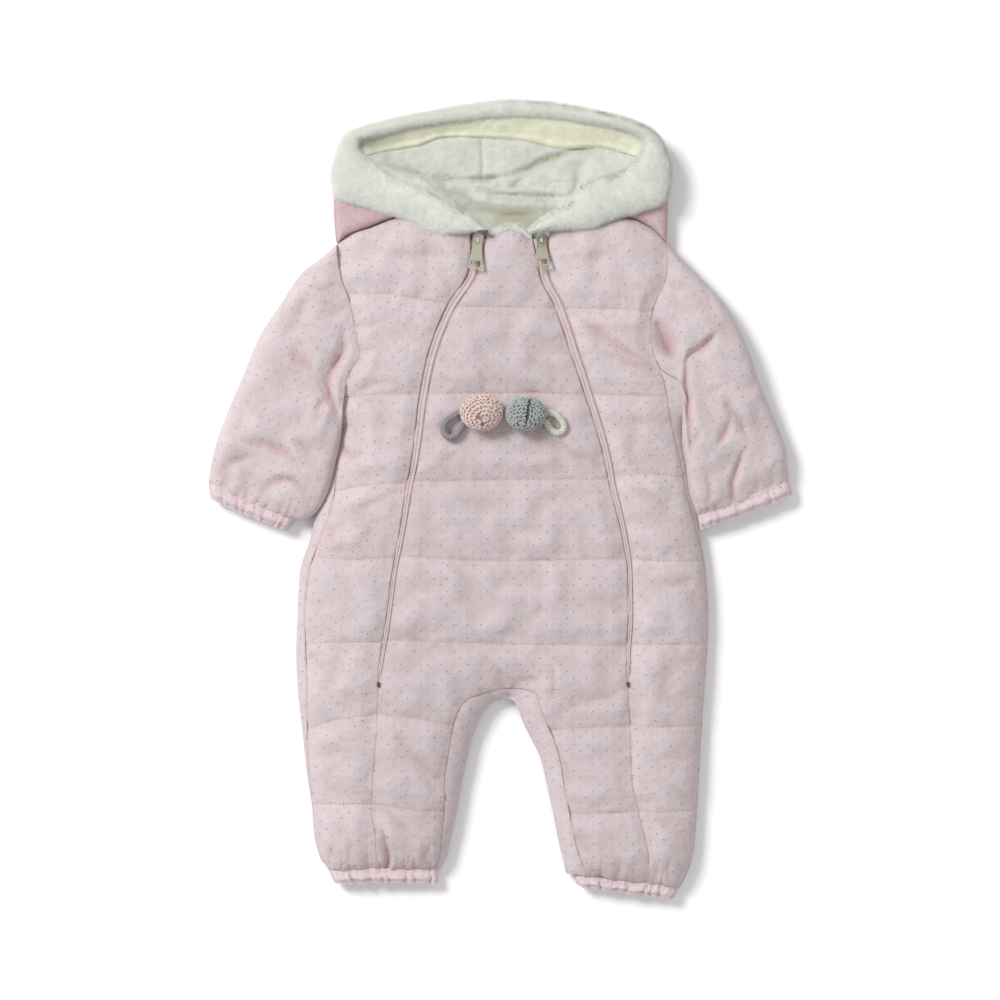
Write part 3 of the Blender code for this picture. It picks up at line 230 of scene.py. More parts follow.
def field(table, name):
    return np.array([getattr(row, name) for row in table], float)


def in_plan(table, x_name, y_name):
    """Points in plan from two columns of a table."""
    return np.stack([field(table, x_name), field(table, y_name)], axis=1)


def column(table, name, at):
    """A table's column as a smooth curve of its first column, without overshoot."""
    ordered = sorted(table)
    return between_knots(field(ordered, ordered[0]._fields[0]), field(ordered, name), at)


def between_knots(knots, values, at):
    """A smooth curve through values at knots, without overshoot. Values may have columns."""
    shape = (-1,) + (1,) * (values.ndim - 1)
    step = np.diff(knots).reshape(shape)
    slope = np.diff(values, axis=0) / step
    same_sign = slope[:-1] * slope[1:] > 0
    total = np.where(same_sign, slope[:-1] + slope[1:], 1.0)
    inner = np.where(same_sign, 2 * slope[:-1] * slope[1:] / total, 0.0)
    tangent = np.concatenate([slope[:1], inner, slope[-1:]])
    at = np.clip(np.asarray(at, float), knots[0], knots[-1])
    i = np.clip(np.searchsorted(knots, at) - 1, 0, len(knots) - 2)
    t = (at - knots[i]) / (knots[i + 1] - knots[i])
    if values.ndim > 1:
        t = t.reshape(t.shape + (1,) * (values.ndim - 1))
    return (
        values[i] * (1 + 2 * t) * (1 - t) ** 2
        + values[i + 1] * t**2 * (3 - 2 * t)
        + step[i] * (tangent[i] * t * (1 - t) ** 2 - tangent[i + 1] * t**2 * (1 - t))
    )


def stations(values, at):
    """Values read smoothly between their places in a list, the first of which is 0."""
    return between_knots(np.arange(len(values), dtype=float), np.asarray(values, float), at)


def eased(count):
    """Shares from 0 to 1 that lie closer together at both ends."""
    return 0.5 - 0.5 * np.cos(np.linspace(0, math.pi, count))


def smooth_step(t):
    t = np.clip(t, 0, 1)
    return t * t * (3 - 2 * t)


def zip_half(y):
    """Half the width between the panels beside a zip, or beside the seam below it."""
    y = np.asarray(y, float)
    t = np.clip((y - ZIP_END_Y) / (ZIP_TOP_Y - ZIP_END_Y), 0, 1)
    half = ZIP_END_HALF + (ZIP_TOP_HALF - ZIP_END_HALF) * t**0.7
    flare = ZIP_FLARE * smooth_step((y - FIRST_ROWS[1]) / (FIRST_ROWS[0] - FIRST_ROWS[1]))
    return smooth_step((y - ZIP_END_Y) / 5) * (half + flare + SEAM_LAP) - SEAM_LAP


def panel_gap(y):
    """Half the gap between two panels as seen: their turned edges cover the tape a little."""
    covered = 0.25 + 0.75 * smooth_step((np.asarray(y, float) - ZIP_END_Y - 20) / 80)
    return np.where(zip_half(y) > 1, zip_half(y) - ZIP_COVER * covered, zip_half(y))


def sampled(table, name, low, high, count=60):
    y = np.linspace(low, high, count)
    return np.stack([column(table, name, y), y], axis=-1)


def run_along(line):
    """How far along a line each of its points is."""
    return np.concatenate([[0], np.cumsum(np.linalg.norm(np.diff(line, axis=0), axis=1))])


def resampled(line, at):
    """Points at given lengths along a line."""
    run = run_along(line)
    return np.stack([np.interp(at, run, values) for values in line.T], axis=-1)


def near(x, y, line):
    """Distance from each point to a polyline, how far along it that is, and the side."""
    line = np.asarray(line, float)
    start, along = line[:-1], np.diff(line, axis=0)
    length = np.linalg.norm(along, axis=1)
    before = run_along(line)
    flat_x, flat_y = np.ravel(x), np.ravel(y)
    away, place, side = (np.empty(flat_x.size) for _ in range(3))
    for low in range(0, flat_x.size, AT_ONCE):
        part = slice(low, low + AT_ONCE)
        dx = flat_x[part, None] - start[:, 0]
        dy = flat_y[part, None] - start[:, 1]
        t = np.clip((dx * along[:, 0] + dy * along[:, 1]) / length**2, 0, 1)
        gap = np.hypot(dx - t * along[:, 0], dy - t * along[:, 1])
        k = gap.argmin(axis=1)
        rows = np.arange(len(k))
        away[part] = gap[rows, k]
        place[part] = before[k] + t[rows, k] * length[k]
        side[part] = np.sign(along[k, 0] * dy[rows, k] - along[k, 1] * dx[rows, k])
    return [part.reshape(np.shape(x)) for part in (away, place, side)]


def distance(x, y, line):
    return near(x, y, line)[0]


def nearby(x, y, line, reach):
    """Which points lie within reach of the box round a line."""
    low, high = line.min(axis=0) - reach, line.max(axis=0) + reach
    return (x > low[0]) & (x < high[0]) & (y > low[1]) & (y < high[1])


def pillow(away, reach, low, high):
    """Height of a padded edge, round from `low` at the edge to `high` at its reach."""
    t = 1 - np.clip(away / reach, 0, 1)
    return low + (high - low) * np.sqrt(1 - t * t)


def trough(away, half, depth):
    return depth * (1 - np.clip(away / half, 0, 1) ** 2) ** 2


def rough(x, y, size, seed):
    """Smooth noise from about -1 to 1, with features of a given size in millimetres."""
    turn = np.random.default_rng(seed).uniform(0, 2 * math.pi, (64, 64))
    u, v = np.asarray(x, float) / size, np.asarray(y, float) / size
    i, j = np.floor(u).astype(int), np.floor(v).astype(int)
    f, g = u - i, v - j

    def corner(a, b):
        angle = turn[(i + a) % 64, (j + b) % 64]
        return np.cos(angle) * (f - a) + np.sin(angle) * (g - b)

    s, t = (w**3 * (w * (w * 6 - 15) + 10) for w in (f, g))
    low = corner(0, 0) * (1 - s) + corner(1, 0) * s
    high = corner(0, 1) * (1 - s) + corner(1, 1) * s
    return 1.6 * (low * (1 - t) + high * t)


def ridged(x, y, size, seed):
    """Creased noise from 0 to 1: sharp valleys in soft cloth."""
    bend_x = x + size * 0.7 * rough(x, y, size * 1.9, seed + 1)
    bend_y = y + size * 0.7 * rough(x, y, size * 1.7, seed + 2)
    return np.sqrt(np.abs(rough(bend_x, bend_y, size, seed)) + 0.02)


# ------------------------------------------------------------------ form of the front

SIDES = [sampled(BODY, side + "_edge", LEG_END_Y, 60) for side in BOTH]
INNER_LEGS = [sampled(LEGS, side + "_edge", LEG_END_Y, CROTCH_EDGE_Y) for side in BOTH]
NECK_LINE = in_plan(NECK, "x", "front")
ANKLE_LINES = (in_plan(ANKLES[:3], "x", "seam"), in_plan(ANKLES[3:], "x", "seam"))
ZIPS = [sampled(BODY, side + "_zip", LEG_END_Y, ZIP_TOP_Y) for side in BOTH]
ARMHOLES = (sampled(BODY, "left_edge", 76, 208), sampled(BODY, "right_edge", 98, 208))
QUILT_HALF, ZIP_DIP_HALF, ARMHOLE_DIP_HALF = 15.0, 16, 14  # half the widths of the dips
QUILT_DIP, ZIP_DIP, ARMHOLE_DIP = 2.3, 2.2, 4.0
CAD_QUILT_DIP, CAD_ZIP_DIP = 2.6, 3.5  # the dips of the CAD solids, which are plainer


def padded_height(x, y, ease=0.0):
    """Height of the padded front before its seams, quilting and folds."""
    lacks = [PUFF_HEIGHT - pillow(distance(x, y, NECK_LINE), NECK_REACH, NECK_LOW, PUFF_HEIGHT)]
    edges = [(line, SIDE_REACH, SEAM_Z + LIP) for line in SIDES + INNER_LEGS]
    edges += [(line, ANKLE_REACH, ANKLE_LOW) for line in ANKLE_LINES]
    for line, reach, low in edges:
        away = np.hypot(distance(x, y, line), ease) - ease
        lacks.append(PUFF_HEIGHT - pillow(away, reach, low, PUFF_HEIGHT))
    return PUFF_HEIGHT - sum(part**3 for part in lacks) ** (1 / 3)


def inland(height):
    return np.clip((height - SEAM_Z) / (PUFF_HEIGHT - SEAM_Z), 0, 1)


def seam_dips(x, y, zip_dip):
    """How far the panels dip towards the zips and the armholes."""
    dip = sum(trough(distance(x, y, line), ZIP_DIP_HALF, zip_dip) for line in ZIPS)
    for line in ARMHOLES:
        dip = dip + trough(distance(x, y, line), ARMHOLE_DIP_HALF, ARMHOLE_DIP)
    return dip


def front_top(x, y):
    """Height of the front as in its CAD solid, for what rests on it."""
    height = padded_height(x, y)
    dips = [trough(np.abs(y - row), QUILT_HALF, CAD_QUILT_DIP) for row in QUILT_ROWS]
    height = height - inland(height) * (sum(dips) + seam_dips(x, y, CAD_ZIP_DIP))
    return np.maximum(height, SEAM_Z + LIP)


def back_underside(x, y):
    """Height of the back's underside: on the table, rounded up to the outline."""
    away = np.min([distance(x, y, line) for line in SIDES + INNER_LEGS], axis=0)
    t = 1 - np.clip(away / BACK_ROUNDING, 0, 1)
    return (SEAM_Z - 0.6) * (1 - np.sqrt(1 - t * t))


# ------------------------------------------------------------------ folds and quilting

# A fold: half its width, its depth, how much steeper its far side is, and its run. The far
# side is on the left of the run. A negative depth is a ridge.
Fold = namedtuple("Fold", "half depth lean points")


def as_folds(*values):
    return [Fold(*row[:3], row[3:]) for row in values]


LEFT_SIDE_FOLDS = as_folds(
    (5, 1.6, 0.2, (-103, 203), (-86, 200), (-69, 199), (-36, 199)),
    (6.5, -1.1, 0, (-100, 213), (-80, 210), (-56, 210)),
    (5, -0.9, 0, (-87, 153), (-79, 166), (-66, 170)),
    (5.5, 1.5, 0.4, (-124, 84), (-108, 92), (-89, 97)),
    (5, 1.7, 0.3, (-131, 46), (-121, 35), (-112, 38)),
    (4.5, 1.2, -0.3, (-117, -7), (-102, -3), (-85, 4)),
    (4, 0.9, 0.3, (-108, -21), (-96, -18), (-83, -13)),
    (3.5, 1.3, 0, (-116, 119), (-109, 121), (-101, 123)),
    (4, 1, 0, (-120, 143), (-111, 141), (-99, 143)),
    (6, 1.5, 0.4, (-149, -20), (-135, -28), (-148, -40)),
    (6, -1.2, 0, (-142, -38), (-124, -32), (-105, -22)),
    (5, 0.9, 0, (-160, -133), (-152, -129), (-143, -124)),
    (5, 1, 0.2, (-157, -82), (-146, -86), (-131, -84)),
    (5.5, 1.1, 0, (-152, -214), (-140, -206), (-122, -205)),
    (4, 1.3, 0.2, (-128, -299), (-122, -288), (-124, -276)),
    (3.5, 1, 0, (-141, -297), (-137, -287), (-138, -280)),
    (7, 0.9, 0, (-60, 47), (-88, 58), (-106, 56)),
)
RIGHT_SIDE_FOLDS = as_folds(
    (6.5, 2.3, 0.4, (56, 153), (82, 136), (113, 115), (131, 103)),
    (4, 2, 0.2, (88, 119), (104, 110), (131, 104)),
    (3, 1.6, 0, (104, 104), (118, 100), (132, 101)),
    (6, -1.1, 0, (64, 141), (84, 127), (106, 112)),
    (5.5, 1.6, 0.2, (42, 197), (69, 196), (86, 200), (104, 212)),
    (5, 1.3, 0.3, (98, 11), (119, 5), (131, -3), (145, -15)),
    (5, 1, 0, (104, 27), (120, 22), (140, 19)),
    (5.5, 1, 0, (128, 66), (119, 62), (106, 63)),
    (5.5, 1.2, 0.2, (160, -62), (146, -70), (128, -70)),
    (5, 1, 0, (168, -138), (156, -132), (142, -134)),
    (5, 1, 0.2, (164, -204), (150, -212), (131, -210)),
    (3.6, 1.2, 0, (139, -315), (136, -302), (139, -291)),
    (3.4, 1, 0.2, (127, -312), (128, -301), (126, -294)),
    (5, 1, 0, (125, 178), (113, 172), (98, 172)),
)
CENTRE_FOLDS = as_folds(
    (5, 1.2, 0, (-58, 104), (-50, 98), (-37, 95)),
    (4.5, 1.1, 0, (-17, 104), (-12, 97), (-6, 89)),
    (5.5, 1.3, 0.2, (-62, 18), (-45, 32), (-31, 37)),
    (6, 1.5, 0.3, (39, 53), (54, 39), (85, 27)),
    (7, 1.9, 0.2, (-86, -189), (-69, -211), (-45, -231)),
    (6, 1.9, 0.2, (-101, -251), (-85, -263), (-63, -278)),
    (3.4, 4.6, 0.5, (-95, -272), (-92.5, -284), (-91, -296), (-95, -306)),
    (4.5, 1, 0, (-39, -189), (-31, -197), (-25, -205)),
    (4.2, 1.5, 0.3, (42, -133), (44, -150), (40, -166)),
    (4.5, 1.1, 0, (25, -100), (31, -91), (35, -82)),
    (6.5, -1.2, 0, (26, -14), (35, -27), (43, -40)),
    (6.5, 1.4, 0.2, (47, -175), (72, -165), (91, -160), (103, -149)),
    (5.5, 1.3, 0, (61, -274), (69, -284), (77, -291)),
    (4, 1.3, 0.2, (8, -157), (17, -149), (30, -147)),
    (3.8, 1.2, 0, (5, -154), (0, -143), (-9, -137)),
    (5, 1, 0, (-66, -33), (-52, -37), (-38, -33)),
    (5.5, 1.2, 0, (-94, -118), (-78, -113), (-60, -117)),
    (4, 1, 0.2, (-76, -302), (-74, -291), (-77, -282)),
    (3.8, 1.2, 0, (-60, -302), (-61, -291), (-57, -284)),
    (4, 1.1, 0, (94, -312), (97, -300), (92, -290)),
    (4, 1, 0.2, (111, -313), (109, -301), (112, -293)),
)
SLEEVE_FOLDS_LEFT = as_folds(
    (5.2, 4.8, 0.3, (-128, 138), (-127, 124), (-134, 110), (-140, 94), (-137, 80), (-131, 66)),
    (9, 2.4, 0, (-152, 105), (-161, 113), (-172, 117)),
    (3.4, 2.4, 0, (-136, 84), (-143, 80), (-151, 70)),
    (4, 1.4, 0.3, (-139, 78), (-148, 68), (-153, 57)),
    (5, 3, 0.4, (-213, 50), (-196, 45), (-179, 41), (-163, 26)),
    (3.8, 2.2, 0.2, (-222, 28), (-213, 32), (-203, 34)),
    (3.8, 2.6, 0.3, (-194, 4), (-182, 16), (-172, 16), (-156, 5)),
    (6, -1.3, 0, (-205, 62), (-188, 57), (-172, 47)),
    (7, 1.4, 0, (-160, 166), (-166, 146), (-178, 132)),
    (4, 1.2, 0, (-133, 176), (-143, 170), (-152, 172)),
    (4, 1.2, 0.2, (-127, 158), (-137, 150), (-148, 150)),
    (4.5, 1.3, 0, (-147, 36), (-157, 40), (-168, 52)),
    (4, 1.2, 0, (-226, 6), (-222, 17), (-225, 28)),
    (3.6, 1.1, 0.2, (-208, -4), (-206, 8), (-209, 17)),
)
SLEEVE_FOLDS_RIGHT = as_folds(
    (7.2, 7, 0, (128, 146), (133, 133), (139, 121), (145, 113)),
    (3.8, 3.8, 0.4, (151.5, 114), (157, 119.5), (164, 124), (176, 135)),
    (3.4, 3.2, -0.3, (153, 118), (151, 98), (152.5, 80), (153.5, 64), (155, 48), (156, 34)),
    (3.2, 2, 0.2, (155, 44), (159, 49), (163, 55)),
    (3.8, 2.4, 0, (177, 44), (184, 56), (188, 67)),
    (3.8, 2.6, 0.4, (182, 86), (189, 72), (196, 62), (204, 48)),
    (5.5, -1.6, 0, (189, 88), (198, 74), (208, 60)),
    (3.2, 3.2, 0.4, (189, -4), (189, 10), (193, 26), (199, 42)),
    (6, 1.5, 0, (170, 168), (172, 150), (185, 138)),
    (4, 1.2, 0, (137, 178), (147, 172), (156, 174)),
    (4, 1.4, 0, (164, 92), (172, 88), (181, 92)),
    (3.8, 1.4, 0.2, (170, -6), (171, 8), (168, 20)),
    (3.8, 1.3, 0, (208, -2), (210, 12), (207, 24)),
    (3.8, 1.2, 0.2, (224, 8), (222, 20), (226, 31)),
    (5, 1.4, 0, (210, 96), (202, 90), (196, 92)),
)
# Quilted rows: the run of the stitching across each panel, from left to right.
Quilt = namedtuple("Quilt", "panel points")
QUILTS = (
    Quilt("left", ((-123, 168), (-98, 168), (-70, 164), (-38, 159))),
    Quilt("left", ((-130, 83), (-96, 86), (-62, 86))),
    Quilt("left", ((-136, 7), (-106, 12), (-73, 14))),
    Quilt("left", ((-154, -47), (-118, -49), (-83, -47))),
    Quilt("left", ((-161, -118), (-128, -116), (-94, -116))),
    Quilt("left", ((-159, -188), (-136, -180), (-101, -175))),
    Quilt("left", ((-155, -249), (-130, -248), (-104, -248))),
    Quilt("centre", ((-39, 158), (0, 157), (47, 156))),
    Quilt("centre", ((-62, 86), (0, 87), (70, 86))),
    Quilt("centre", ((-72, 15), (0, 16), (88, 17))),
    Quilt("centre", ((-82, -46), (0, -50), (103, -48))),
    Quilt("centre", ((-95, -115), (-20, -117), (104, -119))),
    Quilt("centre", ((-101, -175), (-72, -178), (-38, -184))),
    Quilt("centre", ((36, -188), (70, -186), (107, -185))),
    Quilt("centre", ((-105, -248), (-78, -252), (-45, -255))),
    Quilt("centre", ((53, -256), (84, -256), (112, -254))),
    Quilt("right", ((49, 156), (84, 156), (125, 153))),
    Quilt("right", ((71, 86), (102, 85), (134, 84))),
    Quilt("right", ((89, 19), (120, 21), (148, 18))),
    Quilt("right", ((102, -48), (132, -50), (165, -50))),
    Quilt("right", ((105, -118), (136, -118), (169, -117))),
    Quilt("right", ((106, -184), (134, -185), (164, -184))),
    Quilt("right", ((112, -254), (136, -255), (160, -253))),
)


def smooth_run(points, steps=6):
    """A smooth line through points in plan."""
    last = len(points) - 1
    return stations(points, np.linspace(0, last, steps * last + 1))


def folded(x, y, folds):
    """Height that the folds add, and how deep in a fold each point is, from 0 to 1, which is
    painted as shade.
    """
    height, depth = np.zeros_like(x), np.zeros_like(x)
    for number, fold in enumerate(folds):
        line = smooth_run(fold.points)
        close = nearby(x, y, line, 3.2 * fold.half)
        if not close.any():
            continue
        px, py = x[close], y[close]
        px = px + 0.22 * fold.half * rough(px, py, 2.6 * fold.half, 300 + number)
        py = py + 0.22 * fold.half * rough(px, py, 2.6 * fold.half, 400 + number)
        away, place, side = near(px, py, line)
        taper = np.sin(np.clip(place / run_along(line)[-1], 0.02, 0.98) * math.pi) ** 0.55
        u = away / (fold.half * (1 - fold.lean * side * 0.6)) / (0.45 + 0.55 * taper)
        soft = (1 - 0.42 * u * u) * np.exp(-0.5 * u * u)
        crease = np.exp(-3.2 * u) if fold.depth > 0 else soft
        uneven = 1 + 0.35 * rough(place, place * 0, 17, 500 + number)
        height[close] -= fold.depth * taper * (0.8 * soft + 0.42 * crease) * uneven
        if fold.depth > 0:
            sunk = (0.55 * np.exp(-1.6 * u * u) + 0.45 * crease) * taper * uneven
            depth[close] = np.maximum(depth[close], sunk * min(1.0, fold.depth / 3.2))
    return height, depth


def quilted(x, y, share, panel):
    """Height that the quilted rows take away, and how near each point is to a row, as painted
    shade along the stitching.
    """
    height, depth = np.zeros_like(x), np.zeros_like(x)
    for number, row in enumerate(QUILTS):
        if row.panel != panel:
            continue
        line = smooth_run(row.points)
        away, place, _ = near(x, y, line)
        drawn = np.clip(0.6 + 0.7 * rough(place, place * 0, 26, 650 + number), 0.1, 1)
        stitched = trough(away, 2.4, 1.3) * drawn
        pucker = np.exp(-away / 7) * rough(place, away * 0.3, 7.5, 700 + number)
        height -= share * (trough(away, QUILT_HALF, QUILT_DIP) + stitched - 0.55 * pucker)
        depth = np.maximum(depth, 0.6 * drawn * np.exp(-((away / 1.15) ** 2)))
    return height, depth


def gathered_rows(x, y, ends, gathers, seed):
    """Small folds that run up from a gathered seam, and how deep in one each point is, as painted
    shade.
    """
    away, place, _ = near(x, y, ends)
    length = run_along(ends)[-1]
    share = place / length + 0.012 * rough(x, y, 9, seed)
    valley = (1 - pleats(share, gathers, 0.55)) ** 1.5
    reach = 5 + 9 * np.clip(0.5 + 0.9 * rough(share * 80, 0 * share, 13, seed + 1), 0, 1)
    inward = np.clip(np.minimum(place, length - place) / 7, 0, 1)
    valley = valley * inward * np.exp(-away / reach)
    return 2.2 * valley, 0.8 * valley


def turned_in(away, place, seed, roll=ROLL, drop=0.35, pucker=0.5):
    """Height of a seam's edge: it rolls down into the seam and puckers beside it."""
    t = 1 - np.clip(away / roll, 0, 1)
    fall = drop * t**2 * (1 + 0.6 * rough(place, 0 * place, 5, seed))
    fall = fall + 0.45 * np.exp(-((away / 4.0) ** 2))
    ripple = rough(place, away * 0.25, 8.0, seed) + 0.6 * rough(place, away * 0.2, 4.2, seed + 1)
    return -fall + pucker * np.exp(-away / 8.5) * ripple


# A cloth sheet after its simulation: its corner, its spacing, and how far each point rose.
Crumple = namedtuple("Crumple", "left bottom step rise")


def cloth_sheet(low, high, lines, seed):
    """Lets a flat cloth, a little too large for the lines it is sewn to, crumple by itself."""
    step, growth, scale = 3.2, 0.022, 10
    x, y = np.meshgrid(np.arange(low[0], high[0], step), np.arange(low[1], high[1], step))
    held = np.min([distance(x, y, line) for line in lines], axis=0) < step * 0.7
    start = 0.15 * rough(x, y, 13, seed) + 0.05 * rough(x, y, 5, seed + 1)
    points = np.stack([x, y, start], axis=-1).reshape(-1, 3) * MM * scale
    mesh = bpy.data.meshes.new("cloth_sheet")
    mesh.from_pydata(points.tolist(), [], grid_quads(numbered(x)).tolist())
    sheet = add_object("cloth_sheet", mesh)
    sheet.vertex_groups.new(name="sewn").add(np.flatnonzero(held).tolist(), 1.0, "REPLACE")
    cloth = sheet.modifiers.new("cloth", "CLOTH").settings
    cloth.vertex_group_mass = "sewn"
    cloth.shrink_min = -growth
    cloth.effector_weights.gravity = 0
    cloth.quality = 6
    cloth.tension_stiffness = cloth.compression_stiffness = 40
    cloth.shear_stiffness = 12
    cloth.bending_model = "LINEAR"
    cloth.bending_stiffness = 3
    cloth.tension_damping = cloth.compression_damping = 12
    cloth.air_damping = 4
    for frame_number in range(1, 25):
        bpy.context.scene.frame_set(frame_number)
    settled = sheet.evaluated_get(bpy.context.evaluated_depsgraph_get()).to_mesh()
    place = np.empty(x.size * 3, np.float32)
    settled.vertices.foreach_get("co", place)
    rise = place[2::3].reshape(x.shape) / (MM * scale)
    bpy.data.objects.remove(sheet)
    bpy.data.meshes.remove(mesh)
    bpy.context.scene.frame_set(1)
    return Crumple(low[0], low[1], step, blurred(rise))


def blurred(values):
    """Each value averaged a little with its neighbours."""
    around = np.pad(values, 1, mode="edge")
    beside = around[:-2, 1:-1] + around[2:, 1:-1] + around[1:-1, :-2] + around[1:-1, 2:]
    return 0.5 * values + 0.125 * beside


def risen(crumple, x, y):
    """How far a settled sheet rose at each place, smoothly between its points."""
    u = np.clip((x - crumple.left) / crumple.step, 1, crumple.rise.shape[1] - 3.001)
    v = np.clip((y - crumple.bottom) / crumple.step, 1, crumple.rise.shape[0] - 3.001)
    i, j = np.floor(v).astype(int), np.floor(u).astype(int)
    f, g = v - i, u - j
    total = 0
    for a in range(-1, 3):
        for b in range(-1, 3):
            total = total + spline(f - a) * spline(g - b) * crumple.rise[i + a, j + b]
    return total


def spline(t):
    """Weight of a point at a distance t in steps, for a smooth surface (cubic B-spline)."""
    t = np.abs(t)
    inner = 2 / 3 - t**2 + t**3 / 2
    outer = np.clip(2 - t, 0, None) ** 3 / 6
    return np.where(t < 1, inner, outer)


def crumpled(x, y, crumple, seed, amount):
    """Creases of wadded cotton: its settled sheet, with a slow unevenness."""
    broad = rough(x, y, 40, seed) + 0.3 * rough(x, y, 19, seed + 5)
    strength = np.clip(0.75 + 0.6 * rough(x, y, 60, seed + 30), 0.3, 1.3)
    return 0.35 * broad + amount * strength * risen(crumple, x, y)


def uneven(x, y, seed, amount=1.0):
    """Small uneven creases of soft cotton where hardly any show."""
    broad = rough(x, y, 34, seed) + 0.35 * rough(x, y, 19, seed + 5)
    fine = (ridged(x, y, 17, seed + 10) - 0.6) * 1.25
    finer = (ridged(x, y, 8, seed + 20) - 0.6) * 0.5
    strength = 0.5 + 0.6 * rough(x, y, 55, seed + 30)
    return amount * (broad + (fine + finer) * np.clip(strength, 0.12, 1.3))


# ------------------------------------------------------------------ meshes


def seam_ends(row):
    return np.array([(row.outer_x, row.outer_y), (row.inner_x, row.inner_y)], float)


# The pieces that meet at a gathered seam, and those seams in plan.
GATHERED = {"front_centre"} | {
    kind + "_" + side
    for kind in ("front_side", "back", "sleeve", "cuff", "ankle")
    for side in BOTH
}
GATHER_SEAMS = (
    (seam_ends(LEFT_CUFF[0]), 1.1),
    (seam_ends(RIGHT_CUFF[0]), 1.0),
    (ANKLE_LINES[0], 1.7),
    (ANKLE_LINES[1], 1.7),
)


def gathered_shift(points):
    """Points moved so that a gathered seam wanders, the same way for both its pieces."""
    moved = points.copy()
    for number, (line, amount) in enumerate(GATHER_SEAMS):
        x, y = points[:, 0], points[:, 1]
        close = nearby(x, y, line, 30)
        if not close.any():
            continue
        away, place, _ = near(x[close], y[close], line)
        along = (line[-1] - line[0]) / np.linalg.norm(line[-1] - line[0])
        wave = rough(place, place * 0, 13, 900 + number)
        wave = wave + 0.5 * rough(place, place * 0, 6, 910 + number)
        inward = np.clip(place / 12, 0, 1) * np.clip((run_along(line)[-1] - place) / 12, 0, 1)
        shift = amount * wave * inward * np.exp(-((away / 8) ** 2))
        moved[close, 0] += -along[1] * shift
        moved[close, 1] += along[0] * shift
    return moved


LOOK = "_look"  # ends the name of every piece made here, as its CAD node has its name


def add_object(name, data):
    made = bpy.data.objects.new(name, data)
    bpy.context.scene.collection.objects.link(made)
    return made


def set_painted_shade(mesh, values):
    """How much painted shade each point gets, in the fold attribute that the materials read."""
    layer = mesh.attributes.new("fold", "FLOAT", "POINT")
    layer.data.foreach_set("value", np.asarray(values, np.float32))


def mesh_object(name, points, faces, finish, painted_shade=None, sharp=55):
    """An object from points in millimetres. `painted_shade` is a number at each point: the painted
    shade that it gets.
    """
    points = gathered_shift(points) if name in GATHERED else points
    used = np.unique(np.concatenate([np.ravel(part) for part in faces]))
    new_place = np.full(len(points), -1)
    new_place[used] = np.arange(len(used))
    mesh = bpy.data.meshes.new(name)
    polygons = [face for part in faces for face in new_place[part].tolist()]
    mesh.from_pydata((points[used] * MM).tolist(), [], polygons)
    # The fold attribute carries painted shade: darker colour where creases, seams and gathers lie
    # in shade.
    if painted_shade is not None:
        set_painted_shade(mesh, painted_shade[used])
    bm = bmesh.new()
    bm.from_mesh(mesh)
    bmesh.ops.recalc_face_normals(bm, faces=bm.faces)
    bm.to_mesh(mesh)
    bm.free()
    mesh.materials.append(finish)
    mesh.shade_smooth()
    mesh.set_sharp_from_angle(angle=math.radians(sharp))
    return add_object(name + LOOK, mesh)


def numbered(x):
    """The numbers of a grid's points."""
    return np.arange(x.size).reshape(x.shape)


def grid_quads(index):
    """The quads of a grid of point numbers."""
    corners = (index[:-1, :-1], index[1:, :-1], index[1:, 1:], index[:-1, 1:])
    return np.stack([np.ravel(part) for part in corners], axis=1)


def layers(x, y, top, under):
    """The points of a grid's top, and then those of its underside."""
    return np.concatenate([np.stack([x, y, z], axis=-1).reshape(-1, 3) for z in (top, under)])


def wall(name, x, y, top, under, finish, painted_shade):
    """A closed wall over a grid, with its top and its underside."""
    count, quads = x.size, grid_quads(numbered(x))
    edges = quads[:, [[0, 1], [1, 2], [2, 3], [3, 0]]].reshape(-1, 2)
    code, reverse = edges @ [count, 1], edges @ [1, count]
    start, end = edges[~np.isin(code, reverse)].T
    sides = np.stack([end, start, start + count, end + count], axis=1)
    shade = np.concatenate([np.ravel(painted_shade), np.zeros(count)])
    faces = (quads, quads[:, ::-1] + count, sides)
    return mesh_object(name, layers(x, y, top, under), faces, finish, shade)


def ruled_wall(name, x, y, top, under, finish, painted_shade, parts):
    """A closed wall over a grid whose underside runs straight across in each part.

    Each part is a grid of point numbers; parts that share a column are one piece there."""
    count = top.size
    faces, columns = [], {}
    for part in parts:
        faces.append(grid_quads(part))
        left, right = part[:, 0], part[:, -1]
        faces.append(np.stack([left[:-1], left[1:], right[1:], right[:-1]], axis=1) + count)
        for row in (0, -1):
            end = np.concatenate([part[row], [right[row] + count, left[row] + count]])
            faces.append(end[None, ::-1] if row == 0 else end[None])
        for line in (left, right):
            for a, b in zip(line[:-1], line[1:]):
                columns.setdefault((a, b), []).append(line is left)
    sides = [
        (a, b, b + count, a + count) if on_left[0] else (b, a, a + count, b + count)
        for (a, b), on_left in columns.items()
        if len(on_left) == 1
    ]
    faces.append(np.array(sides))
    shade = np.concatenate([painted_shade.ravel(), np.zeros(count)])
    return mesh_object(name, layers(x, y, top, under), faces, finish, shade)


def tube(name, outer, inner, finish, painted_shade):
    """A tube wall from two grids of closed rings, joined at both ends, with painted shade on its
    top.
    """
    out = numbered(outer[..., 0])
    out = np.concatenate([out, out[:, :1]], axis=1)
    count = outer[..., 0].size
    within = out + count
    ends = [
        np.stack([out[k, :-1], out[k, 1:], within[k, 1:], within[k, :-1]], axis=1) for k in (0, -1)
    ]
    faces = (grid_quads(out), grid_quads(within)[:, ::-1], ends[0], ends[1][:, ::-1])
    points = np.concatenate([outer.reshape(-1, 3), inner.reshape(-1, 3)])
    shade = np.concatenate([painted_shade, np.zeros_like(painted_shade)], axis=1)
    return mesh_object(name, points, faces, finish, np.append(shade, np.zeros(count)))


EDGE_STEPS = np.array([0, 0.35, 0.85, 1.6, 2.7])


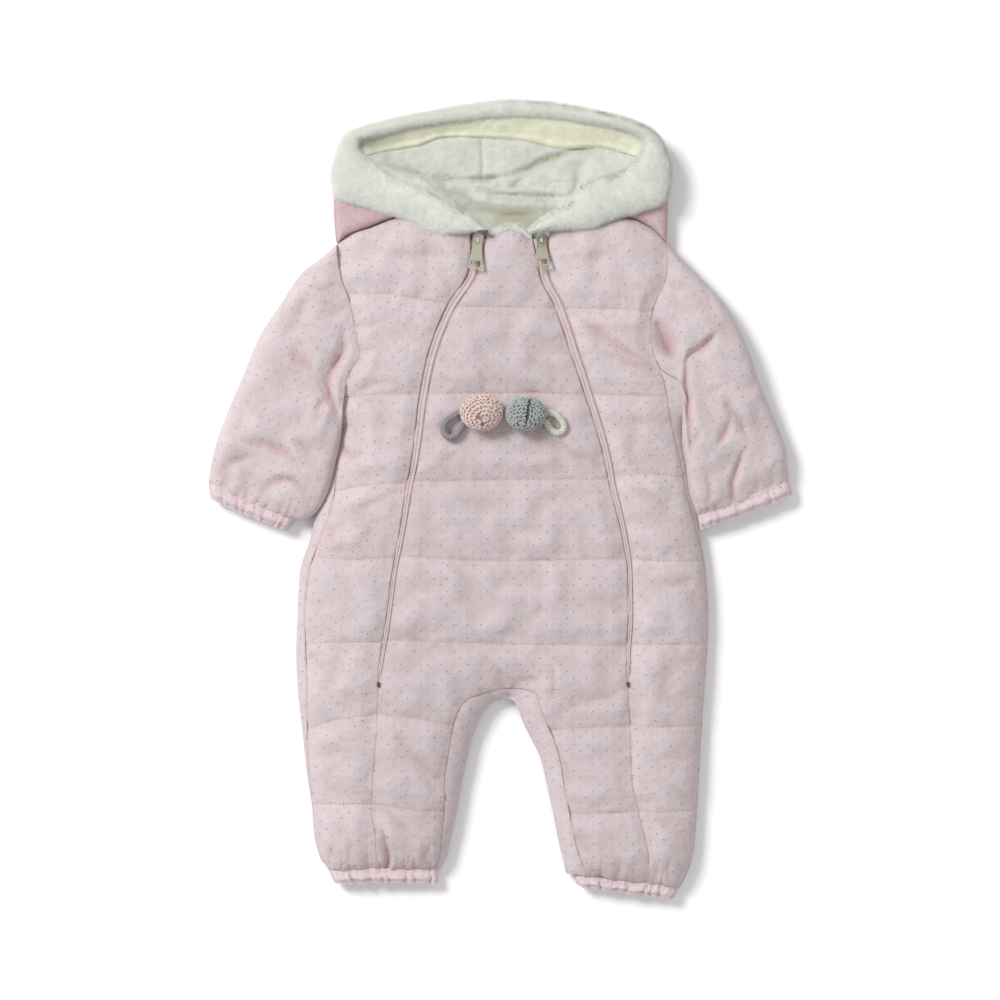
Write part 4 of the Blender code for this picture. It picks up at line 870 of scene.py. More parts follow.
def across(left, right, step=STEP):
    """Columns of x from the left edge to the right edge of each row, closer at the edges."""
    width = np.abs(right - left)
    middle = max(2, int(width.max() / step) - 2)
    near_edge = EDGE_STEPS[None, :] * np.minimum(1, width[:, None] / 14)
    last = near_edge[:, -1:]
    inner = last + (width[:, None] - 2 * last) * np.linspace(0, 1, middle + 2)[1:-1]
    place = np.concatenate([near_edge, inner, width[:, None] - near_edge[:, ::-1]], axis=1)
    return left[:, None] + np.sign(right - left)[:, None] * place


def row_levels(step=STEP):
    """Rows of the body from the neck seam to the ankle seam, in the tables' heights."""
    first, second = FIRST_ROWS
    top = first - np.array([0, 0.12, 0.3, 0.55, 0.9])
    neck = np.arange(first - 1.6, second, -0.75)
    body = np.arange(second, SPLIT_Y + 4, -step)
    fork = np.arange(SPLIT_Y + 3, -171, -0.8)
    crotch = SPLIT_Y - np.array([0.05, 0.15, 0.35, 0.6, 0.9, 1.2, 1.6])
    legs = np.arange(-171, -294, -step)
    ankle = np.arange(-295, -300.2, -0.8)
    end = np.array([-301, -301.4, -301.7, -301.85, -302])
    rows = np.concatenate([top, neck, body, fork, crotch, legs, ankle, end, [SPLIT_Y]])
    return np.unique(np.round(rows, 4))[::-1]


def outline_rows(side, rows):
    """Heights at which the outline is read for each row, as the last rows are stretched."""
    last, before = LAST_ROWS
    share = np.clip((rows - before) / (last - before), 0, 1)
    return rows + share * (ANKLE_OUTLINE_Y[side] - last)


def stretched(rows, x, top_line="front"):
    """y of every point: the first rows reach up to the neck, the last ones to the ankle."""
    y = np.repeat(rows[:, None], x.shape[1], axis=1)
    first, second = FIRST_ROWS
    share = np.clip((rows - second) / (first - second), 0, 1)[:, None]
    y = y + share * (column(NECK, top_line, x[0])[None, :] - first)
    last, before = LAST_ROWS
    share = np.clip((rows - before) / (last - before), 0, 1)[:, None]
    return y + share * (column(ANKLES, "seam", x[-1])[None, :] - last)


# ------------------------------------------------------------------ the body's panels


def front_surface(x, y, panel, folds, seams, seed, crumple):
    """Top of a front panel and its fold shade. Seams are the lines it is turned in at."""
    height = padded_height(x, y, EDGE_EASE)
    share = inland(height)
    rows, row_shade = quilted(x, y, share, panel)
    bends, bend_shade = folded(x, y, folds)
    creases = crumpled(x, y, crumple, seed, 0.8)
    height = height + rows + bends + share * (creases - seam_dips(x, y, ZIP_DIP))
    shade = np.maximum(np.maximum(row_shade, bend_shade), valley_shade(creases))
    for table, gathers in ((LEFT_ANKLE, LEFT_ANKLE_GATHERS), (RIGHT_ANKLE, RIGHT_ANKLE_GATHERS)):
        drop, valley = gathered_rows(x, y, seam_ends(table[0]), gathers, 920)
        height, shade = height - drop, np.maximum(shade, valley)
    for number, line in enumerate(seams):
        away, place, _ = near(x, y, line)
        height = height + turned_in(away, place, seed + 40 * number)
        shade = np.maximum(shade, seam_shade(away, place, seed + number))
    for number, line in enumerate(ANKLE_LINES):
        away, place, _ = near(x, y, line)
        shade = np.maximum(shade, 0.7 * seam_shade(away, place, seed + 60 + number))
    return np.maximum(height, SEAM_Z + 0.9), shade


def valley_shade(creases):
    """Painted shade: creases are painted a little rosier and darker in their valleys."""
    return 0.2 * np.clip(-creases / 1.4, 0, 1)


def seam_shade(away, place, seed):
    """How much painted shade lies beside a seam: a thin rosy line with small knots of puckers."""
    knots = np.clip(0.55 + 0.55 * rough(place, place * 0, 6, seed + 800), 0.15, 1.0)
    return knots * np.exp(-((away / 0.9) ** 2))


def panel_wall(name, x, y, panel, folds, seams, seed, finish, parts, crumple):
    top, shade = front_surface(x, y, panel, folds, seams, seed, crumple)
    under = np.maximum(FRONT_REST, np.minimum(top - 1.2, (top + FRONT_REST) / 2))
    return ruled_wall(name, x, y, top, np.minimum(under, top - 0.5), finish, shade, parts)


def body_edges(side, rows):
    """x of the outline and of the seam beside it at each row."""
    read = outline_rows(side, rows)
    return column(BODY, side + "_edge", read), column(BODY, side + "_seam", read)


def front_side(side, folds, finish, crumple):
    rows = row_levels()
    inward = 1 if side == "left" else -1
    edge, seam = body_edges(side, rows)
    # Where hardly any of the back shows, the panel runs on to the outline.
    seam = seam + (edge - seam) * smooth_step((1.5 - np.abs(edge - seam)) / 0.7)
    beside_zip = column(BODY, side + "_zip", rows) - inward * panel_gap(rows)
    x = across(seam - inward * SEAM_LAP, beside_zip)
    y = stretched(rows, x)
    seed = 11 if side == "left" else 12
    name, border = "front_side_" + side, border_lines(x, y)
    return panel_wall(name, x, y, side, folds, border, seed, finish, [numbered(x)], crumple)


def border_lines(x, y):
    """The sides and the top of a grid in plan, thinned."""
    grid = np.stack([x, y], axis=-1)
    return [thinned(line) for line in (grid[:, 0], grid[:, -1], grid[0])]


def thinned(line):
    return np.concatenate([line[:-1:3], line[-1:]])


def front_centre(finish, crumple):
    """Front panel between the zips, in one piece to the crotch and then in two legs."""
    rows = row_levels()
    left = column(BODY, "left_zip", rows) + panel_gap(rows)
    right = column(BODY, "right_zip", rows) - panel_gap(rows)
    forked = rows < SPLIT_Y
    left_inner = np.where(forked, column(LEGS, "left_inseam", rows) + SEAM_LAP, CENTRE_X)
    right_inner = np.where(forked, column(LEGS, "right_inseam", rows) - SEAM_LAP, CENTRE_X)
    left_x, right_x = across(left, left_inner), across(right_inner, right)
    x = np.concatenate([left_x, right_x], axis=1)
    y = stretched(rows, x)
    half = left_x.shape[1]
    index = numbered(x)
    joined = index[:, half:].copy()
    joined[~forked, 0] = index[~forked, half - 1]
    grid = np.stack([x, y], axis=-1)
    inner_legs = np.concatenate([grid[forked, half - 1][::-1], grid[forked, half]])
    seams = [*border_lines(x, y), thinned(inner_legs)]
    parts, folds = [index[:, :half], joined], CENTRE_FOLDS
    return panel_wall("front_centre", x, y, "centre", folds, seams, 13, finish, parts, crumple)


def strip_columns(start, end, count):
    """Columns from start to end of each row, closer at both ends."""
    return start[:, None] + (end - start)[:, None] * eased(count)


def back_half(side, finish):
    """Half of the back, flat on the table and turned forward along the outline."""
    rows = row_levels(BACK_STEP)
    inward = 1 if side == "left" else -1
    edge, seam = body_edges(side, rows)
    parted = rows < CROTCH_EDGE_Y
    inner = np.where(parted, column(LEGS, side + "_edge", rows), CENTRE_X)
    inner = inner + inward * np.where(parted, -SEAM_LAP, SEAM_LAP)
    on_strip = rows < SPLIT_Y
    inseam = np.where(on_strip, column(LEGS, side + "_inseam", rows), inner - inward * 0.5)
    ramp = (seam + inward * 0.06)[:, None] + inward * BACK_RAMP
    inner_ramp = (inseam - inward * 0.06)[:, None] - inward * BACK_RAMP[::-1]
    middle = strip_columns(ramp[:, -1], inner_ramp[:, 0], 16)[:, 1:-1]
    outer, within = strip_columns(edge, seam, 7), strip_columns(inseam, inner, 7)
    x = np.concatenate([outer, ramp, middle, inner_ramp, within], axis=1)
    y = stretched(rows, x, "seam")
    shown = np.zeros(x.shape, bool)
    shown[:, :7] = (np.abs(seam - edge) > 1.0)[:, None]
    shown[:, -7:] = on_strip[:, None]
    grid = np.stack([x, y], axis=-1)
    height, shade = padded_height(x, y, EDGE_EASE), np.zeros_like(x)
    for number, line in enumerate((grid[:, 6], grid[:, -7])):
        away, place, _ = near(x, y, thinned(line))
        height = height + turned_in(away, place, 60 + number)
        shade = np.maximum(shade, seam_shade(away, place, 60 + number))
    height = height + inland(height) * uneven(x, y, 21, 0.6)
    top = np.where(shown, np.maximum(height, SEAM_Z + 0.6), BACK_TOP)
    under = np.minimum(back_underside(x, y), top - 0.4)
    return wall("back_" + side, x, y, top, under, finish, shade)


# ------------------------------------------------------------------ sleeves and frills


def bowed(row, share):
    """Points in plan between the two ends of a row that bows towards the body."""
    start, end = seam_ends(row)
    along = end - start
    normal = np.array([-along[1], along[0]]) / np.linalg.norm(along)
    if row.outer_x > row.inner_x:
        normal = -normal
    return start + share[:, None] * along + (4 * share * (1 - share))[:, None] * normal * row.bow


def sleeve(side, table, cuff, folds, finish, crumple):
    """A sleeve: a flattened padded tube from the armhole to the cuff."""
    share = eased(62)
    first, last = table[0], len(table) - 1
    heights = first.outer_y - share * (first.outer_y - first.inner_y)
    clear = SLEEVE_LAP if side == "left" else -SLEEVE_LAP
    armhole = np.stack([column(BODY, side + "_edge", heights) + clear, heights], axis=1)
    close = np.array([0, 0.006, 0.016, 0.03])
    at = np.concatenate([close, np.linspace(0.05, last - 0.05, 96), last - close[::-1]])
    plan = stations([armhole, *(bowed(row, share) for row in table[1:])], at)
    tall = stations(field(table, "height"), at)[:, None]
    x, y = plan[..., 0], plan[..., 1]
    squareness = 3.2 + 9.0 * np.exp(-((at / 1.3) ** 2))[:, None]
    edge = np.abs(2 * share - 1) ** squareness
    rise = np.maximum(tall / 2 * np.sqrt(np.clip(1 - edge**2, 0, 1)), 0.4)
    bends, shade = folded(x, y, folds)
    seed = 31 if side == "left" else 32
    puff = np.clip(rise / 8, 0, 1)
    creases = crumpled(x, y, crumple, seed, 0.85)
    drop, valley = gathered_rows(x, y, seam_ends(cuff.table[0]), cuff.gathers, 930)
    away, place, _ = near(x, y, plan[0])
    turned = turned_in(away, place, seed + 50, drop=0.2, pucker=0.7)
    upper = tall / 2 + rise + puff * (bends + creases - drop + turned)
    shades = [shade, valley, valley_shade(creases), 0.8 * seam_shade(away, place, seed)]
    away, place, _ = near(x, y, plan[-1])
    shades.append(0.7 * seam_shade(away, place, seed + 1))
    lower = np.broadcast_to(tall / 2 - rise, upper.shape)
    outer = ring_points(x, y, np.maximum(upper, lower + 0.8), lower)
    within = np.stack([plan_at(plan, share, wanted) for wanted in 0.02 + 0.96 * share], axis=1)
    middle = tall / 2 + np.zeros_like(upper)
    slim = np.minimum(1.2, rise * 0.5)
    inner = ring_points(within[..., 0], within[..., 1], middle + slim, middle - slim)
    return tube("sleeve_" + side, outer, inner, finish, np.max(shades, axis=0))


def plan_at(plan, share, wanted):
    """Plan points of every ring at one share across it."""
    k = min(np.searchsorted(share, wanted), len(share) - 1)
    low, high = share[k - 1], share[k]
    t = (wanted - low) / (high - low)
    return plan[:, k - 1] * (1 - t) + plan[:, k] * t


def ring_points(x, y, upper, lower):
    """Closed rings: across on the top, and back below."""
    top, low = (np.stack([x, y, np.broadcast_to(z, x.shape)], axis=-1) for z in (upper, lower))
    return np.concatenate([top, low[:, ::-1]], axis=1)


def pleats(share, gathers, sharpness=0.75):
    """0 in the valley of each gather and 1 on the ridge between two."""
    valleys = np.array(gathers, float)
    share = np.clip(share, 0, 1)
    k = np.clip(np.searchsorted(valleys, share) - 1, 0, len(valleys) - 2)
    t = (share - valleys[k]) / (valleys[k + 1] - valleys[k])
    return np.sin(np.clip(t, 0, 1) * math.pi) ** sharpness


FRILL_WALL = 1.2
# A gathered end: its table, where its gathers lie, and how full they are.
Gathered = namedtuple("Gathered", "table gathers fullness")


def gathered_end(name, gathered, seed, finish):
    """A frill on an elastic: a short flattened tube in pleats, pinched near its hem."""
    start, end = gathered.table
    share = 0.25 * eased(92) + 0.75 * np.linspace(0, 1, 92)
    first, last = bowed(start, share), bowed(end, share)
    run = np.linspace(0, 1, 18)[:, None]
    x, y = (first[:, k] * (1 - run) + last[:, k] * run for k in range(2))
    drift = 0.02 * rough(share[None, :] * 80, run * 14, 9, seed + 5)
    ridge = pleats(share[None, :] + drift, gathered.gathers, 0.5)
    full = gathered.fullness * np.clip(0.9 + rough(share * 90, share * 0, 12, seed + 8), 0.2, 2)
    outward = (seam_ends(end) - seam_ends(start)).sum(axis=0)
    outward = outward / np.linalg.norm(outward)
    wander = rough(share * 90, share * 0, 9, seed)[None, :]
    reach = run**2 * full * (2.6 * (ridge - 0.75) + 1.5 * wander) - 2.2 * (1 - run) ** 8
    x, y = x + outward[0] * reach, y + outward[1] * reach
    tall = start.height * (1 - run) + end.height * run
    edge = np.abs(2 * share - 1) ** 3.0
    body = tall / 2 * np.sqrt(np.clip(1 - edge**2, 0, 1))[None, :]
    pinched = body * (1 - 0.12 * np.exp(-(((run - 0.2) / 0.12) ** 2)))
    lumps = 1 + 0.5 * rough(share[None, :] * 90, run * 3, 11, seed + 7)
    swell = (0.9 + 2.3 * run) * (ridge - 0.8) * lumps * full - 0.4 * (1 - run) ** 12
    fine = 0.45 * rough(share[None, :] * 90, run * 9, 3.2, seed + 3)
    rise = np.maximum(pinched + np.clip(body / 5, 0, 1) * (swell + fine), 0.5)
    thin_hem = 1 - 0.45 * smooth_step((run - 0.55) / 0.45)
    upper = tall / 2 + rise * thin_hem
    lower = np.maximum(tall / 2 - np.maximum(pinched, 0.5) * thin_hem, 0.0)
    inset = np.clip(share, 0.015, 0.985)
    drawn_in = [[np.interp(inset, share, row) for row in part] for part in (x, y)]
    inner_x, inner_y = np.array(drawn_in)
    roof = np.maximum(upper - FRILL_WALL, tall / 2 + 0.1)
    floor = np.minimum(lower + FRILL_WALL, tall / 2 - 0.1)
    middle, half_gap = (roof + floor) / 2, np.clip(roof - floor, 0.3, None) / 2
    outer = ring_points(x, y, upper, lower)
    inner = ring_points(inner_x, inner_y, middle + half_gap, middle - half_gap)
    # Painted shade in the valleys of the gathers, deeper towards the hem.
    valley = np.clip((1 - ridge) ** 1.5 * (0.5 + 0.35 * run) * full / gathered.fullness, 0, 0.9)
    return tube(name, outer, inner, finish, valley)


# ------------------------------------------------------------------ hood and linings


def three_point(row, share):
    """Points of a bent row through its left, middle and right point."""
    t = share[:, None]
    left, mid, right = np.reshape(row, (3, 2))
    return (1 - t) * (1 - 2 * t) * left + 4 * t * (1 - t) * mid + t * (2 * t - 1) * right


def hood_back(finish):
    share = eased(60)
    rows = [three_point(row, share) for row in HOOD_BACK]
    grid = stations(rows, np.linspace(0, len(rows) - 1, 36))
    x, y = grid[..., 0], grid[..., 1]
    y[0] = np.maximum(y[0], column(NECK, "seam", x[0]) - SEAM_LAP)
    border = np.concatenate([grid[:, 0], grid[-1], grid[::-1, -1]])
    t = 1 - np.clip(distance(x, y, thinned(border)) / 7, 0, 1)
    under = 6.5 * (1 - np.sqrt(1 - t * t))
    return wall("hood_back", x, y, np.full_like(x, BACK_TOP), under, finish, 0 * x)


def hood_side(side, table, finish):
    """The hood's side, turned forward round the mouth."""
    at = np.linspace(0, len(table) - 1, 120)
    outer = in_plan(table, "outer_x", "outer_y")
    outer[:, 1] = np.maximum(outer[:, 1], column(NECK, "seam", outer[:, 0]) - SEAM_LAP)
    outer, inner = stations(outer, at), stations(in_plan(table, "inner_x", "inner_y"), at)
    grid = outer[:, None] + 0.55 * (inner - outer)[:, None] * eased(16)[:, None]
    x, y = grid[..., 0], grid[..., 1]
    away = distance(x, y, thinned(outer))
    seed = 71 if side == "left" else 72
    top = pillow(away, 9, SEAM_Z + 0.8, HOOD_TOP) + uneven(x, y, seed, 0.5)
    top, under = np.maximum(top, FRONT_REST + 0.6), np.full_like(x, FRONT_REST)
    # Painted shade in a thin line along the seam at the outer edge.
    return wall("hood_" + side, x, y, top, under, finish, 0.5 * np.exp(-((away / 2.0) ** 2)))


def mouth_line(side):
    """The inner edge of a turned side, from the neck to the middle of the top."""
    table = HOOD_LEFT if side == "left" else HOOD_RIGHT
    return field(table, "inner_x"), field(table, "inner_y")


def mouth_x(side, y):
    x_line, y_line = mouth_line(side)
    return np.interp(y, y_line, x_line)


def mouth_top(x):
    """y of the upper edge of the mouth."""
    left_x, left_y = (line[8:] for line in mouth_line("left"))
    right_x, right_y = (line[8:][::-1] for line in mouth_line("right"))
    return np.interp(x, [*left_x, *right_x], [*left_y, *right_y])


# What lies in the hood's mouth, low to high: each row runs from one turned side to the
# other and is as high as its last column says.
MOUTH_NAMES = "left_y mid_y right_y height"
NECK_LINING = tabled(
    MOUTH_NAMES,
    (233, 223, 233, 11), (240.5, 235, 240.5, 13), (254, 248, 254, 15.6), (266, 259, 264.5, 14),
)
HOOD_LINING = tabled(
    MOUTH_NAMES, (266, 259, 264.5, 14), (274, 278, 272, 13.6), (280, 292, 279, 13.4)
)
FACING_LOW = HOOD_LINING[-1]
FACING_TOP_Z = 20.5
# How far the facing's lower edge stands above or below its row.
SCALLOPS = tabled(
    "x rise",
    (-109, 0), (-70, 0.5), (-46, 5.6), (-16, 3.6), (16, 1.6), (49, -3.2), (82, 1.5), (106, 0),
)
LINING_SEAM_X = -15.0
LINING_ROWS = 46
PLUSH_TUCK = 3.0  # how far the plush runs under the fur band
FACING_TUCK = 4.5
HAIR_WIDTH = 0.45
FUR_INSET = 2.6  # how far the band lies inside its CAD solid, for its hair
MOUTH_CENTRE = np.array([CENTRE_X, 262.0, 0.0])  # which the band's hair points away from
HAIRS = 26500  # on each half of the band
LINING_FLOOR = 9.4
NECK_FACING_WIDTH = 4.5
# Height of the fur band's underside beside the mouth, which the plush meets.
FUR_MEETS = tabled("y height", (222, 22), (236, 21.5), (247, 20.5), (257, 19.8), (300, 20.5))
MOUTH_EDGES = [
    in_plan(table, "inner_x", "inner_y") for table in (HOOD_LEFT[:9], HOOD_RIGHT[:8])
]
LINING_FOLDS = as_folds(
    (3.6, 2.6, 0.3, (-101, 274), (-84, 271), (-66, 267), (-46, 262), (-28, 261)),
    (2.6, 3.2, 0, (-30, 261.5), (-15, 261.5), (1, 263)),
    (4, 3.2, 0.4, (0, 263), (12, 266), (32, 274), (48, 281), (62, 286), (84, 284)),
    (4, 3.6, 0.5, (-17, 254), (-8, 250), (4, 248), (22, 247.5), (42, 247), (60, 246)),
    (4.5, 1.8, 0, (7, 252), (16, 261), (31, 270)),
    (5, 2.2, 0.3, (56, 247), (61, 257), (63, 272)),
    (5, 1.8, 0, (-55, 256), (-44, 252), (-28, 246), (-14, 238)),
    (6, 1.8, 0.2, (-30, 241), (-16, 235), (2, 232), (20, 232), (34, 236)),
    (7, -1.6, 0, (-72, 262), (-58, 258), (-44, 253)),
    (7, -1.8, 0, (72, 262), (80, 268), (88, 274)),
    (6, -1.4, 0, (-24, 244), (-4, 241), (18, 239), (40, 240)),
    (8, -1.2, 0, (-60, 279), (-44, 283), (-28, 281)),
    (8, -1, 0, (6, 279), (20, 284), (34, 286)),
)


def mouth_grid(table, share, count):
    """A fine grid through the rows of a table, and its heights."""
    lines = []
    for row in table:
        left = mouth_x("left", row.left_y) - PLUSH_TUCK
        right = mouth_x("right", row.right_y) + PLUSH_TUCK
        arc = (left, row.left_y, (left + right) / 2, row.mid_y, right, row.right_y)
        lines.append(three_point(arc, share))
    at = np.linspace(0, len(table) - 1, count)
    grid, height = stations(lines, at), stations(field(table, "height"), at)[:, None]
    return grid[..., 0], grid[..., 1], height + np.zeros(len(share))


def beside_mouth(x, y):
    """How far each point is from the fur's inner edge."""
    return np.min([distance(x, y, line) for line in MOUTH_EDGES], axis=0)


def mouth_form(x, y, top):
    """Plush in the mouth: folded, and as high as the fur where it goes below it."""
    meets = np.clip(column(FUR_MEETS, "height", y) - top, 0, None)
    return top + folded(x, y, LINING_FOLDS)[0] + meets * np.exp(-((beside_mouth(x, y) / 8.5) ** 2))


def mouth_shade(x, y):
    """How shaded the plush is: in its folds, and in the neck behind the front."""
    _, depth = folded(x, y, LINING_FOLDS)
    neck = np.exp(-(((x - 12) / 24) ** 2) - ((y - 229) / 10) ** 2)
    return np.clip(np.maximum(0.8 * depth, 0.85 * neck), 0, 1)


def plush_wall(name, x, y, top, finish, seed):
    """A plush lining, uneven as its pile lies."""
    pile = 0.6 * rough(x, y, 12, seed) + 0.3 * rough(x, y, 5.5, seed + 1)
    top, under = np.maximum(top + pile, LINING_FLOOR + 0.6), np.full_like(x, LINING_FLOOR)
    return wall(name, x, y, top, under, finish, mouth_shade(x, y))


def hood_linings(finish):
    """The two halves of the plush lining in the hood's mouth, sewn together."""
    ends, _, _ = mouth_grid(HOOD_LINING, np.array([0.0, 1.0]), 2)
    width = ends[0, 1] - ends[0, 0]
    split, lap = (LINING_SEAM_X - ends[0, 0]) / width, SEAM_LAP / width
    rows = np.arange(LINING_ROWS)[:, None]
    made = []
    for side, low, high, count in (("left", 0, split + lap, 50), ("right", split - lap, 1, 62)):
        x, y, height = mouth_grid(HOOD_LINING, np.linspace(low, high, count), LINING_ROWS)
        y = y + np.clip(2 * rows / (LINING_ROWS - 1) - 1, 0, 1) * column(SCALLOPS, "rise", x)
        at_seam = high if side == "left" else low
        seam_away = np.abs(np.linspace(low, high, count) - at_seam) * width
        sewn = np.minimum(seam_away, (LINING_ROWS - rows) * 0.7)
        height = mouth_form(x, y, height) - 1.3 * np.exp(-((sewn / 1.8) ** 2))
        made.append(plush_wall("hood_lining_" + side, x, y, height, finish, 81))
    return made


def hood_facing(finish):
    """The smoother cream strip above the linings, up to the top of the mouth."""
    low_x, low_y, _ = (row[0] for row in mouth_grid([FACING_LOW] * 2, np.linspace(0, 1, 130), 2))
    low_y = low_y + column(SCALLOPS, "rise", low_x) - SEAM_LAP
    rise = np.linspace(0, 1, 26)[:, None]
    y = low_y * (1 - rise) + (mouth_top(low_x) + 7) * rise
    left = mouth_x("left", np.minimum(y[:, :1], 287)) - FACING_TUCK
    right = mouth_x("right", np.minimum(y[:, -1:], 286)) + FACING_TUCK
    x = left + (right - left) * (low_x - low_x[0]) / (low_x[-1] - low_x[0])
    height = FACING_LOW.height + (FACING_TOP_Z - FACING_LOW.height) * rise**1.2
    edge_roll = np.exp(-(((rise - 0.12) / 0.12) ** 2)) - np.exp(-((rise / 0.05) ** 2))
    height = height + 0.9 * edge_roll
    meets = np.clip(FACING_TOP_Z - height, 0, None) * np.exp(-((beside_mouth(x, y) / 7) ** 2))
    return plush_wall("hood_facing", x, y, height + meets, finish, 84)


def neck_lining(finish):
    """The body's plush lining, bunched in the neck opening."""
    x, y, height = mouth_grid(NECK_LINING, np.linspace(0, 1, 120), 60)
    moved = column(NECK, "front", x[0]) + NECK_FACING_WIDTH - SEAM_LAP - y[0] - 0.6
    y = y + moved * np.clip(1 - np.arange(60) / 22, 0, 1)[:, None]
    top = np.clip(mouth_form(x, y, height), 9.9, 20.5)
    return plush_wall("neck_lining", x, y, top, finish, 87)


def neck_facing(finish):
    """The plush edge above the centre panel's neck seam."""
    first_row = np.array(FIRST_ROWS[:1])
    left = column(BODY, "left_zip", first_row) + zip_half(first_row)
    right = column(BODY, "right_zip", first_row) - zip_half(first_row)
    share = np.linspace(0, 1, 9)[:, None]
    x = np.linspace(left[0], right[0], 70) + 0 * share
    ragged = NECK_FACING_WIDTH + 1.1 * rough(x, 0 * x, 4.0, 88)
    y = column(NECK, "front", x) - SEAM_LAP + share * ragged
    top = NECK_LOW + 0.6 + 1.0 * np.sin(share * math.pi) - 1.2 * share**2
    top = top + 0.6 * rough(x, y, 4.5, 89)
    return wall("neck_facing", x, y, top, np.full_like(x, FRONT_REST + 1.5), finish, 0 * x)


def fur_rings():
    """Rings of the fur band's top and of its whole, shrunk for the hair that stands on it."""
    at = np.linspace(0, len(FUR) - 1, 210)
    names = ("outer_x", "outer_y"), ("inner_x", "inner_y")
    outer, inner = (stations(in_plan(FUR, *pair), at) for pair in names)
    base, height = (stations(field(FUR, name), at)[:, None] for name in ("base", "height"))
    pull = (inner - outer) * np.minimum(
        FUR_INSET / np.linalg.norm(inner - outer, axis=1, keepdims=True), 0.3
    )
    outer, inner = outer + pull, inner - pull
    plan = outer[:, None] + eased(20)[:, None] * (inner - outer)[:, None]
    x, y = plan[..., 0], plan[..., 1]
    lump = 0.7 * rough(x, y, 24, 91) + 0.2 * rough(x, y, 9, 92)
    level = np.sin(np.linspace(0, math.pi, 20)) ** 0.75
    rings = np.stack([x, y, base + level * (height - FUR_INSET + lump)], axis=-1)
    floor = rings[:, 1:-1][:, ::-1].copy()
    floor[..., 2] = base
    return rings, np.concatenate([rings, floor], axis=1)


def fur_trim(finish):
    """The band under the hair: a rounded strip, closed at both ends."""
    _, rings = fur_rings()
    index = numbered(rings[..., 0])
    turned = np.concatenate([index, index[:, :1]], axis=1)
    faces = (grid_quads(turned), index[:1], index[-1:, ::-1])
    points = rings.reshape(-1, 3)
    made = mesh_object("fur_trim", points, faces, finish, rim_shade(points), 180)
    lit_as(made, np.array([vert.normal for vert in made.data.vertices]))
    return made


def rim_shade(points):
    """The fur is tinted darker and creamier along the top of the mouth, towards the facing, with
    the plush's painted shade colour.
    """
    inner = np.clip(1 - (points[:, 1] - mouth_top(points[:, 0])) / 16, 0, 1)
    return 0.26 * smooth_step((points[:, 1] - 284) / 12) * (0.35 + 0.65 * inner)


def lit_as(made, normal):
    """Dense fine pile is lit as the surface that it stands on, and hardly shades itself."""
    lit = unit(normal + np.array([0, 0, 0.9]))
    made.data.normals_split_custom_set_from_vertices(lit.tolist())


# ------------------------------------------------------------------ hair


def scattered(grid, count, seed):
    """Random places on a grid of points: positions and normals, even over the area."""
    random = np.random.default_rng(seed)
    a, b, c, d = grid[:-1, :-1], grid[1:, :-1], grid[1:, 1:], grid[:-1, 1:]
    normal = np.cross(b - d, c - a)
    area = np.linalg.norm(normal, axis=-1).ravel()
    pick = random.choice(area.size, count, p=area / area.sum())
    corners = [np.reshape(part, (-1, 3))[pick] for part in (a, b, c, d)]
    u, v = random.random((2, count, 1))
    place = (corners[0] * (1 - u) + corners[1] * u) * (1 - v)
    place = place + (corners[3] * (1 - u) + corners[2] * u) * v
    normal = np.reshape(normal, (-1, 3))[pick]
    return place, unit(normal) * np.where(normal[:, 2:] < 0, -1, 1)


def unit(vectors):
    return vectors / np.linalg.norm(vectors, axis=1, keepdims=True)


def hair(name, place, normal, flow, length, finish, seed, shade=None, lift=1.1):
    """Fine hair: tapered spikes that stand off a surface and lie along a flow."""
    random = np.random.default_rng(seed)
    count = len(place)
    spread = random.normal(0, 0.35, (count, 3))
    lie = unit(flow - (flow * normal).sum(axis=1, keepdims=True) * normal + spread + 1e-6)
    tip = place + length * random.uniform(0.6, 1.2, (count, 1)) * unit(lie + normal * lift)
    side = unit(np.cross(lie, normal))
    thick = HAIR_WIDTH * random.uniform(0.7, 1.25, (count, 1)) / 2
    corners = ((1.0, 0.0), (-0.5, 0.8), (-0.5, -0.8))
    foot = [place - normal * 0.5 + thick * (a * side + b * lie) for a, b in corners]
    points = np.stack([*foot, tip], axis=1).reshape(-1, 3)
    start = np.arange(count)[:, None] * 4
    faces = [start + np.array([face]) for face in ((0, 2, 1), (0, 1, 3), (1, 2, 3), (2, 0, 3))]
    painted_shade = np.zeros(count) if shade is None else shade
    made = mesh_object(name, points, faces, finish, np.repeat(painted_shade, 4), 180)
    lit_as(made, np.repeat(normal, 4, axis=0))
    made.visible_shadow = False
    return made


# ------------------------------------------------------------------ zips, stitches, beads


def capsule(sides):
    """A rounded bead along X from -0.5 to 0.5, with a radius of 0.5."""
    turn = np.linspace(0, 2 * math.pi, sides, endpoint=False)
    circle = np.stack([np.zeros(sides), np.cos(turn), np.sin(turn)], axis=1)
    profile = ((-0.42, 0.28), (-0.22, 0.5), (0.22, 0.5), (0.42, 0.28))
    rings = [circle * radius + np.array([along, 0, 0]) for along, radius in profile]
    points = np.concatenate([*rings, [[-0.5, 0, 0], [0.5, 0, 0]]])
    index = np.arange(4 * sides).reshape(4, sides)
    after = np.roll(index, -1, axis=1)
    corners = (index[:-1], after[:-1], after[1:], index[1:])
    faces = np.stack([part.ravel() for part in corners], axis=1)
    ends = []
    for s, n in zip(index[0], after[0]):
        ends += [(4 * sides, n, s), (4 * sides + 1, 3 * sides + s, 3 * sides + n)]
    return points, faces, np.array(ends)


